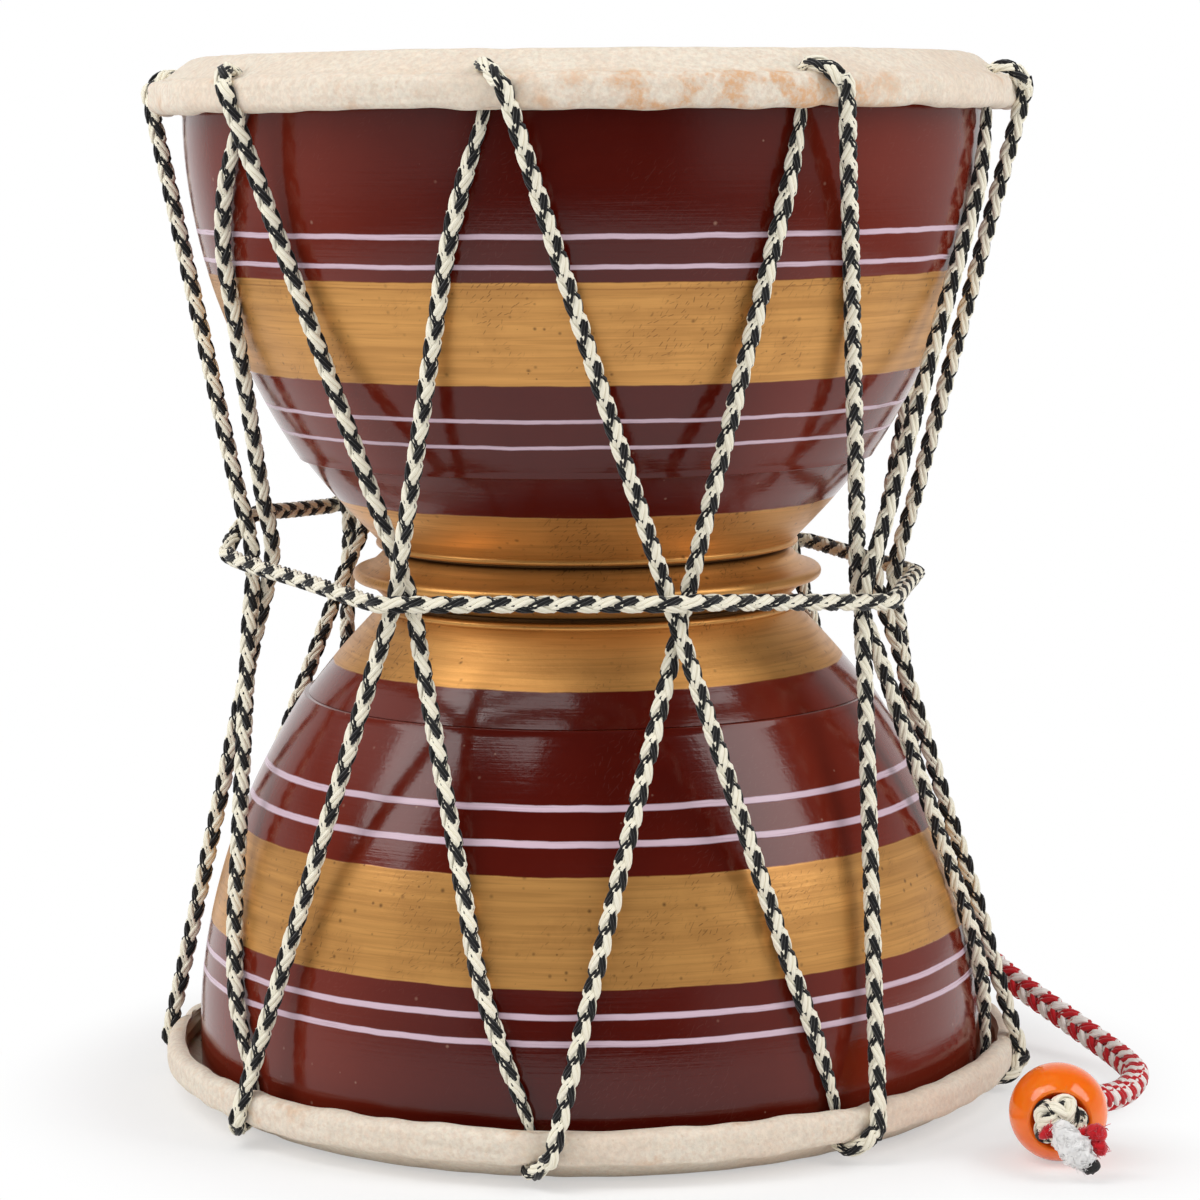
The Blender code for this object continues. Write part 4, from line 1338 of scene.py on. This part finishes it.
def tied_knot(name, centre, direction, look, solid):
    """Two turns of the cord's end round the cord, drawn tight, with both ends left standing."""
    upright = direction.to_track_quat("Z", "Y").to_matrix()
    ring = LACE_DIAMETER / 2 * (1 + KNOT_CORD_SHARE) + FIT_GAP
    steps = int(KNOT_TURNS * KNOT_TURN_STEPS)
    points = []
    for step in range(steps + 1):
        turn = math.tau * step / KNOT_TURN_STEPS
        rise = KNOT_STEP * (step / KNOT_TURN_STEPS - KNOT_TURNS / 2)
        points.append(Vector((ring * math.cos(turn), ring * math.sin(turn), rise)))
    outward = upright.inverted() @ Vector((centre.x, centre.y, 0)).normalized()
    for end, way in ((0, -1), (-1, 1)):
        start = points[end]
        out, along = KNOT_END_LEAN
        tip = start + outward * KNOT_END * out + Vector((0, 0, way * KNOT_END * along))
        middle = start.lerp(tip, 0.5) + outward * KNOT_END_BEND
        if way < 0:
            points[:0] = [tip, middle]
        else:
            points += [middle, tip]
    route = [centre + upright @ point for point in points]
    return lacing_piece(name, route, [KNOT_CORD_SHARE] * len(route), False, look, solid)


def loop_points(centre, direction, radius, steps):
    """A closed ring of points round a direction."""
    upright = direction.to_track_quat("Z", "Y").to_matrix()
    turns = [math.tau * step / steps for step in range(steps)]
    return [centre + upright @ Vector((radius * math.cos(t), radius * math.sin(t), 0)) for t in turns]


CREAM_SOIL = (0.60, 0.52, 0.36, 1.0)
BLACK_SOIL = (0.030, 0.028, 0.026, 1.0)
WHITE_SOIL = (0.70, 0.58, 0.56, 1.0)
RED_SOIL = (0.34, 0.010, 0.016, 1.0)


def yarns(*finishes):
    """The yarns of a braid, each given by its name, colour and soil, and made only once."""
    return [bpy.data.materials.get(finish[0]) or yarn(*finish) for finish in finishes]


def lace_materials(look):
    return yarns(("cream_yarn", look.cream, CREAM_SOIL), ("black_yarn", look.black, BLACK_SOIL))


def striker_materials(look):
    return yarns(("white_yarn", look.white, WHITE_SOIL), ("red_yarn", look.red, RED_SOIL))


STRIKER_GATHER = 0.85
GATHER_MIDDLE = 0.79
GATHER_SPREAD = 0.05


def make_striker_cord(look):
    """The striker's cord, its braid gathered tight where it bends back to the bead."""
    route = striker_route()
    path, shares = smooth_path(route, [1.0] * len(route), STRIKER_SPACING, False)
    share = np.linspace(0, 1, len(path))
    gather = 1 - (1 - STRIKER_GATHER) * np.exp(-(((share - GATHER_MIDDLE) / GATHER_SPREAD) ** 2))
    shell = Shell()
    fullness = (look.white_fullness, look.red_fullness)
    braid(shell, path, shares, False, STRIKER_DIAMETER / 2, look.pitch * gather, fullness)
    cord = shell.piece("striker_cord_braid", striker_materials(look))
    return dress(cord, "striker", "striker_cord"), path


def make_striker_loop(look):
    """The loop that ties the striker to the waist cord."""
    hinge, direction = striker_hinge()
    ring = LACE_DIAMETER / 2 + FIT_GAP + LOOP_DIAMETER / 2
    points = loop_points(hinge, direction, ring, LOOP_STEPS)
    path, shares = smooth_path(points, [1.0] * len(points), STRIKER_SPACING, True)
    shell = Shell()
    scale = LOOP_DIAMETER / STRIKER_DIAMETER
    fullness = (look.white_fullness, look.red_fullness)
    braid(shell, path, shares, True, LOOP_DIAMETER / 2, look.pitch * scale, fullness)
    loop = shell.piece("striker_loop_braid", striker_materials(look))
    return dress(loop, "tie", "striker_loop")


BEAD_SIDE_FROM = 0.12
BEAD_EDGE_TURN = (180, 80)


def bead_outline():
    """A round bead cut flat at both ends with rounded edges, and a bore that flares into each mouth."""
    radius = BEAD_DIAMETER / 2
    half = BEAD_LENGTH / 2
    mouth = BEAD_MOUTH_DIAMETER / 2
    bore = BEAD_BORE_DIAMETER / 2
    inside = half - BEAD_MOUTH_DEPTH
    outer = []
    for height in half * np.cos(np.linspace(BEAD_SIDE_FROM, math.pi - BEAD_SIDE_FROM, BEAD_SIDE_STEPS)):
        outer.append((math.sqrt(radius**2 - height**2), height))
    upper = []
    for turn in np.radians(np.linspace(*BEAD_EDGE_TURN, BEAD_EDGE_STEPS)):
        centre = mouth + BEAD_EDGE_ROUND
        drop = BEAD_EDGE_ROUND * (1 - math.sin(turn))
        upper.append((centre + BEAD_EDGE_ROUND * math.cos(turn), half - drop))
    lower = [(r, -h) for r, h in upper[::-1]]
    return [(bore, inside), *upper, *outer, *lower, (bore, -inside)]


def in_bead_frame(points):
    """Points given to the right, up and out of the bead's mouth, in the frame."""
    middle, right, up, out = bead_frame()
    axes = np.array((right, up, out))
    return np.array(points, float) @ axes + np.array(middle)


def make_bead(look):
    """The bead, turned about its bore."""
    rings = turned_rings(bead_outline(), BEAD_TURN_STEPS)
    shell = Shell()
    shell.add_rings(in_bead_frame(rings), True)
    bead = shell.piece("striker_bead", [bead_plastic(look)], BEAD_CREASE)
    return dress(bead, "bead", "bead")


KNOT_RADIUS = 0.00280
KNOT_WAVE = 0.00120
KNOT_RISE = 0.00225
KNOT_WEAVE = 0.00055
KNOT_ROUNDS = 2
KNOT_BIGHTS = 5
KNOT_POINTS = 60
STOPPER_CORD = 0.0033
STOPPER_FULLNESS = (1.7, 0.5)


def make_stopper_knot(look):
    """A round button knot of cream braid, drawn into the bead's front mouth."""
    points = []
    for step in range(KNOT_POINTS):
        turn = math.tau * KNOT_ROUNDS * step / KNOT_POINTS
        swing = turn * KNOT_BIGHTS / KNOT_ROUNDS
        reach = KNOT_RADIUS + KNOT_WAVE * math.cos(swing)
        rise = KNOT_RISE * (1 - math.cos(swing)) / 2 - KNOT_WEAVE * math.sin(swing)
        points.append((reach * math.cos(turn), reach * math.sin(turn), BEAD_LENGTH / 2 + rise))
    route = [Vector(point) for point in in_bead_frame(points)]
    path, shares = smooth_path(route, [1.0] * len(route), STRIKER_SPACING, True)
    shell = Shell()
    braid(shell, path, shares, True, STOPPER_CORD / 2, look.pitch, STOPPER_FULLNESS)
    knot = shell.piece("stopper_knot_braid", lace_materials(look))
    return dress(knot, "striker", "stopper_knot")


TAIL_SHARES = (0.0, 0.25, 0.60, 1.0)
TAIL_RADII = (0.0011, 0.0025, 0.0031, 0.0016)
TAIL_LUMPS = 0.11
WHITE_FIBRES = 420
RED_FIBRES = 60
FIBRE_RADIUS = 0.00010
FIBRE_SPACING = 0.0005
FIBRE_SIDES = 4
FIBRE_TAPER = 0.5
FIBRE_ROOT = 0.95
FIBRE_AHEAD = (0.3, 1.0)
FIBRE_STRAY = 0.8
FIBRE_REACH = (0.0007, 0.0015)
FIBRE_LIFT = (0.0001, 0.0003)
LUMP_SIDES = 20
LOBE_STEPS = 14
LOBE_END = 0.98
TAIL_SPACING = 0.0004
TAIL_SEED = 41
RED_LOBES = (
    ((0.0037, -0.0012, 0.0128), (0.80, 0.55, 0.20), (0.0022, 0.0013)),
    ((0.0066, -0.0004, 0.0136), (0.85, -0.20, 0.30), (0.0021, 0.0017)),
    ((0.0068, -0.0027, 0.0138), (0.55, -0.75, 0.30), (0.0023, 0.0015)),
    ((0.0039, -0.0033, 0.0132), (-0.35, -0.85, 0.20), (0.0016, 0.0011)),
    ((-0.0024, -0.0010, 0.0112), (0.70, 0.62, 0.30), (0.0023, 0.0010)),
)
BURNT_LOBE = ((0.0053, -0.0061, 0.0160), (0.86, 0.06, 0.40), (0.0021, 0.0015))


def add_fibre(shell, points, finish):
    """One fine fibre through a few points."""
    path, _ = smooth_path([Vector(point) for point in points], [1.0] * len(points), FIBRE_SPACING, False)
    share = np.linspace(0, 1, len(path))
    rings = tube_rings(path, FIBRE_RADIUS * (1 - FIBRE_TAPER * share), FIBRE_SIDES)
    shell.add_rings(rings, False, finish, np.broadcast_to(share[:, None, None], (*rings.shape[:2], 2)))


def add_fleece(shell, rng, path, radii, count, finish):
    """Fibres lying along a frayed lump, most of them close to it."""
    side, up = untwisted_frames(path, False)
    ahead = slopes(path, False)
    for _ in range(count):
        row = rng.integers(1, len(path) - 2)
        turn = rng.uniform(0, math.tau)
        out = side[row] * math.cos(turn) + up[row] * math.sin(turn)
        way = ahead[row] * rng.uniform(*FIBRE_AHEAD)
        way = way + np.cross(ahead[row], out) * rng.normal(0, FIBRE_STRAY)
        start = path[row] + out * radii[row] * FIBRE_ROOT
        reach = rng.uniform(*FIBRE_REACH)
        lift = out * rng.uniform(*FIBRE_LIFT)
        points = [start, start + way * reach * 0.5 + lift, start + way * reach]
        add_fibre(shell, points, finish)


def add_lump(shell, rng, path, radii, finish):
    """A lumpy round body along a path."""
    rings = tube_rings(path, radii, LUMP_SIDES)
    uneven = rng.normal(0, TAIL_LUMPS, rings.shape[:2])
    uneven = (uneven + np.roll(uneven, 1, axis=1) + np.roll(uneven, 1, axis=0)) / 2
    uneven[[0, -1]] = 0
    shell.add_rings(rings + (rings - path[:, None]) * uneven[..., None], False, finish)


def add_lobe(shell, rng, lobe, fibres, finish):
    """A small tuft: where it is, its lean and its two radii, in the bead's frame."""
    centre, lean, (long, wide) = lobe
    ends = [np.array(centre) + way * long * normalised(np.array(lean)) for way in (-1, 1)]
    start, stop = in_bead_frame(ends)
    steps = np.linspace(-LOBE_END, LOBE_END, LOBE_STEPS)
    path = (start + stop) / 2 + (stop - start) / 2 * steps[:, None]
    radii = wide * np.sqrt(1 - steps**2)
    add_lump(shell, rng, path, radii, finish)
    add_fleece(shell, rng, path, radii, fibres, finish)


def make_tail(look):
    """The striker's frayed end: white cotton, tufts of its red strands, and a melted black tip."""
    rng = np.random.default_rng(TAIL_SEED)
    start = in_bead_frame([(0, 0, BEAD_LENGTH / 2 + KNOT_DOME + FIT_GAP)])[0]
    route = [Vector(start + np.array(offset)) for offset in TAIL_ROUTE]
    path, _ = smooth_path(route, [1.0] * len(route), TAIL_SPACING, False)
    radii = np.interp(np.linspace(0, 1, len(path)), TAIL_SHARES, TAIL_RADII)
    shell = Shell()
    add_lump(shell, rng, path, radii, 0)
    add_fleece(shell, rng, path, radii, WHITE_FIBRES, 0)
    for lobe in RED_LOBES:
        add_lobe(shell, rng, lobe, RED_FIBRES, 1)
    add_lobe(shell, rng, BURNT_LOBE, 0, 2)
    materials = [fluff("white_cotton", look.cotton), fluff("red_fluff", look.red), burnt_end(look)]
    return dress(shell.piece("striker_tail_yarn", materials), "striker", "striker_tail")


# The stage


def make_camera(scene, look):
    data = bpy.data.cameras.new("photo_camera")
    data.lens = look.lens
    data.sensor_width = CAMERA_SENSOR
    data.clip_start = CAMERA_NEAR
    data.clip_end = CAMERA_FAR
    camera = bpy.data.objects.new("photo_camera", data)
    tilt = Matrix.Rotation(math.radians(90 - CAMERA_TILT_DOWN), 4, "X")
    roll = Matrix.Rotation(math.radians(CAMERA_ROLL), 4, "Z")
    camera.matrix_world = Matrix.Translation(CAMERA_PLACE) @ tilt @ roll
    scene.collection.objects.link(camera)
    scene.camera = camera


LAMP_AIM = (0.0, 0.0, 0.11)
LAMPS = {
    "key": ((-0.92, -0.26, 0.88), (0.50, 0.75)),
    "fill": ((0.88, -0.34, 0.80), (0.50, 0.80)),
    "top": ((-0.42, -0.40, 1.12), (0.60, 0.50)),
}


def make_lamp(scene, name, place, size, power):
    """A soft rectangular lamp that faces the drum."""
    data = bpy.data.lights.new(name, "AREA")
    data.shape = "RECTANGLE"
    data.size, data.size_y = size
    data.energy = power
    lamp = bpy.data.objects.new(name, data)
    lamp.location = place
    lamp.rotation_mode = "QUATERNION"
    lamp.rotation_quaternion = (Vector(LAMP_AIM) - Vector(place)).to_track_quat("-Z", "Y")
    scene.collection.objects.link(lamp)


def make_lamps(scene, look):
    for name, (place, size) in LAMPS.items():
        make_lamp(scene, name + "_lamp", place, size, getattr(look, name + "_power"))


def ways_seen(tree):
    """1 for what is seen in a gloss or through a clear thing, and 1 for what the camera sees straight."""
    path = node(tree, "ShaderNodeLightPath").outputs
    return most(tree, path["Is Glossy Ray"], path["Is Transmission Ray"]), path["Is Camera Ray"]


WHITE = (1.0, 1.0, 1.0, 1.0)

# The room, by the share of a direction that points back, up, or towards its panel
BACKDROP_SPAN = (0.30, 0.97)
WALL_SPAN = (0.10, 0.44)
DARK_SPAN = (-0.98, -0.72)
SKY_SPAN = (0.0, 0.95)
FRONT_SPAN = (-0.70, -0.94)
FRONT_FOOT = (0.08, 0.22)
FRONT_HEAD = (0.62, 0.44)
PANEL_WAY = (-0.56, 0.25, 0.79)
PANEL_SPAN = (0.80, 0.95)


def make_world(scene, look):
    world = bpy.data.worlds.new("white_surround")
    world.use_nodes = True
    tree = world.node_tree
    sky = tree.nodes["Background"].inputs
    sky["Color"].default_value = WHITE
    mirrored, straight = ways_seen(tree)
    way = node(tree, "ShaderNodeTexCoord").outputs["Generated"]
    parts = node(tree, "ShaderNodeSeparateXYZ", {0: way}).outputs
    low = smooth_range(tree, maths(tree, "ABSOLUTE", parts["Z"]), *WALL_SPAN, 1.0, 0.0)
    beside = smooth_range(tree, parts["Y"], *DARK_SPAN)
    walls = smooth_range(tree, times(tree, low, beside), 0.0, 1.0, look.room, look.walls)
    backdrop = smooth_range(tree, parts["Y"], *BACKDROP_SPAN)
    foot, head = (smooth_range(tree, parts["Z"], *span) for span in (FRONT_FOOT, FRONT_HEAD))
    front = smooth_range(tree, parts["Y"], *FRONT_SPAN, 0.0, look.front)
    front = times(tree, times(tree, foot, head), front)
    toward = vectors(tree, "DOT_PRODUCT", way, PANEL_WAY)["Value"]
    panel = smooth_range(tree, toward, *PANEL_SPAN, 0.0, look.panel)
    room = most(tree, walls, backdrop, front, panel)
    level = smooth_range(tree, parts["Z"], *SKY_SPAN, look.ambient, look.overhead)
    lit = node(tree, "ShaderNodeMix", {0: mirrored, 2: level, 3: room}).outputs[0]
    strength = node(tree, "ShaderNodeMix", {0: straight, 2: lit, 3: 1.0}).outputs[0]
    feed(tree, strength, sky["Strength"])
    scene.world = world


FLOOR_REACH = 0.9
FLOOR_LIFT = 0.45
DRUM_SHADOW = (0.088, 0.130)
BEAD_SHADOW = (0.010, 0.040)
FLOOR_EDGE = (0.40, 0.62)
FLOOR_STEPS = 96
FLOOR_SHADE = (0.92, 0.92, 0.92, 1.0)


def make_floor(look):
    """A pale floor that keeps the drum's shadow and fades into the white surround."""
    bpy.ops.mesh.primitive_circle_add(vertices=FLOOR_STEPS, radius=FLOOR_REACH, fill_type="NGON")
    floor = bpy.context.active_object
    floor.name = "pale_floor"
    material, tree, _, place = start_material("pale_floor")
    tree.nodes.remove(tree.nodes["Principled BSDF"])
    out = tree.nodes["Material Output"]
    paper = placed(tree, "Mottle", Position=place, Scale=3.0, Low=0.2, High=0.8)["Patch"]
    tint = blend_colour(tree, paper, opaque(look.floor), FLOOR_SHADE)
    matt = node(tree, "ShaderNodeBsdfDiffuse", {"Color": tint}).outputs[0]
    glow = node(tree, "ShaderNodeEmission", {"Color": WHITE, "Strength": 1.0}).outputs[0]
    away = vectors(tree, "LENGTH", place)["Value"]
    from_bead = vectors(tree, "DISTANCE", place, (*BEAD_PLACE, 0.0))["Value"]
    by_drum = smooth_range(tree, away, *DRUM_SHADOW, FLOOR_LIFT, 1.0)
    by_bead = smooth_range(tree, from_bead, *BEAD_SHADOW, FLOOR_LIFT, 1.0)
    white = maths(tree, "MINIMUM", by_drum, by_bead)
    share = times(tree, white, most(tree, *ways_seen(tree)))
    paved = node(tree, "ShaderNodeMixShader", {0: share, 1: matt, 2: glow}).outputs[0]
    clear = node(tree, "ShaderNodeBsdfTransparent").outputs[0]
    edge = smooth_range(tree, away, *FLOOR_EDGE)
    surface = node(tree, "ShaderNodeMixShader", {0: edge, 1: paved, 2: clear}).outputs[0]
    feed(tree, surface, out.inputs["Surface"])
    floor.data.materials.append(material)


# Operators


class DAMARU_OT_stage(bpy.types.Operator):
    """Sets the camera, the lamps and the floor"""

    bl_idname = "damaru.stage"
    bl_label = "Set the stage"

    def execute(self, context):
        look = context.scene.damaru_stage
        make_camera(context.scene, look)
        make_lamps(context.scene, look)
        make_world(context.scene, look)
        make_floor(look)
        context.scene.view_settings.view_transform = "Standard"
        return {"FINISHED"}


class DAMARU_OT_striker(bpy.types.Operator):
    """Ties on the striker: its loop, cord, bead, stopper knot and tail"""

    bl_idname = "damaru.striker"
    bl_label = "Tie the striker"

    def execute(self, context):
        look = context.scene.damaru_striker
        cord, path = make_striker_cord(look)
        loop = make_striker_loop(look)
        bead = make_bead(look)
        knot = make_stopper_knot(context.scene.damaru_lace)
        tail = make_tail(look)
        return {"FINISHED"}


class DAMARU_OT_lacing(bpy.types.Operator):
    """Laces both heads together in two rounds and ties the cord round the waist"""

    bl_idname = "damaru.lacing"
    bl_label = "Lace the heads"

    def execute(self, context):
        look = context.scene.damaru_lace
        for name, first_is_upper, layer in (("first", False, 0), ("second", True, 1)):
            points, shares, bends = lacing_round(first_is_upper, LACE_WAIST_RADIUS + layer * LACE_LAYER)
            lacing_piece(f"lacing_{name}_braid", points, shares, True, look, f"lacing_{name}_round")
            start, stop = bends[LACING_KNOT_SPAN]
            tied = start.lerp(stop, 1 + LACING_KNOT_SHARE)
            tied_knot(f"lacing_{name}_tie", tied, stop - start, look, f"lacing_{name}_knot")
        corners = waist_corners()
        loop = []
        for here, there in zip(corners, corners[1:] + corners[:1]):
            loop += [*here, here[-1].lerp(there[0], 0.5)]
        lacing_piece("waist_cord_braid", loop, [1.0] * len(loop), True, look, "waist_cord")
        start, stop = loop_span(corners)
        tied = start.lerp(stop, WAIST_KNOT_SHARE)
        tied_knot("waist_cord_tie", tied, stop - start, look, "waist_cord_knot")
        return {"FINISHED"}


class DAMARU_OT_wood(bpy.types.Operator):
    """Turns and paints both bowls and the waist between them"""

    bl_idname = "damaru.wood"
    bl_label = "Turn the wood"

    def execute(self, context):
        look = context.scene.damaru_wood
        material = painted_wood(look)
        for seed, head in enumerate(HEADS):
            face, way = HEADS[head]
            outline = [(radius, face + way * depth) for radius, depth in bowl_outline(head)]
            bowl = turned_wood(head + "_bowl_wood", outline, seed, look, material)
            dress(bowl, "drum", head + "_bowl")
        outline = [(radius, WAIST_HEIGHT + rise) for radius, rise in spool_outline()]
        spool = turned_wood("waist_spool_wood", outline, len(HEADS), look, material)
        dress(spool, "drum", "waist_spool")
        return {"FINISHED"}


class DAMARU_OT_skins(bpy.types.Operator):
    """Stretches a goat skin over each head and finishes the cane hoops inside their rolled edges"""

    bl_idname = "damaru.skins"
    bl_label = "Stretch the skins"

    def execute(self, context):
        look = context.scene.damaru_skin
        hide = goat_skin(look)
        cane = split_cane()
        for head in HEADS:
            skin = stretched_skin(head, SKIN_SEEDS[head], look, hide)
            dress(skin, "drum", head + "_skin")
            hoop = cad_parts[head + "_hoop"]
            hoop.data.materials.clear()
            hoop.data.materials.append(cane)
        return {"FINISHED"}


class DAMARU_PT_panel(bpy.types.Panel):
    """Lists the damaru's settings and the steps that dress it"""

    bl_idname = "DAMARU_PT_panel"
    bl_label = "Damaru"
    bl_space_type = "VIEW_3D"
    bl_region_type = "UI"
    bl_category = "Damaru"

    def draw(self, context):
        for group, operator in STEPS:
            box = self.layout.box()
            look = getattr(context.scene, group)
            for name in look.bl_rna.properties.keys():
                if name not in {"rna_type", "name"}:
                    box.prop(look, name)
            box.operator(operator.bl_idname)


LOOKS = {
    "damaru_stage": StageLook,
    "damaru_striker": StrikerLook,
    "damaru_lace": LaceLook,
    "damaru_wood": WoodLook,
    "damaru_skin": SkinLook,
}
STEPS = (
    ("damaru_stage", DAMARU_OT_stage),
    ("damaru_striker", DAMARU_OT_striker),
    ("damaru_lace", DAMARU_OT_lacing),
    ("damaru_wood", DAMARU_OT_wood),
    ("damaru_skin", DAMARU_OT_skins),
)
CLASSES = (*LOOKS.values(), *(operator for _, operator in STEPS), DAMARU_PT_panel)


def register():
    for made in CLASSES:
        bpy.utils.register_class(made)
    for name, look in LOOKS.items():
        setattr(bpy.types.Scene, name, PointerProperty(type=look))


def unregister():
    for name in LOOKS:
        delattr(bpy.types.Scene, name)
    for made in reversed(CLASSES):
        bpy.utils.unregister_class(made)


def main():
    register()
    make_groups()
    bpy.ops.damaru.stage()
    bpy.ops.damaru.striker()
    bpy.ops.damaru.lacing()
    bpy.ops.damaru.wood()
    bpy.ops.damaru.skins()


if __name__ == "__main__":
    main()
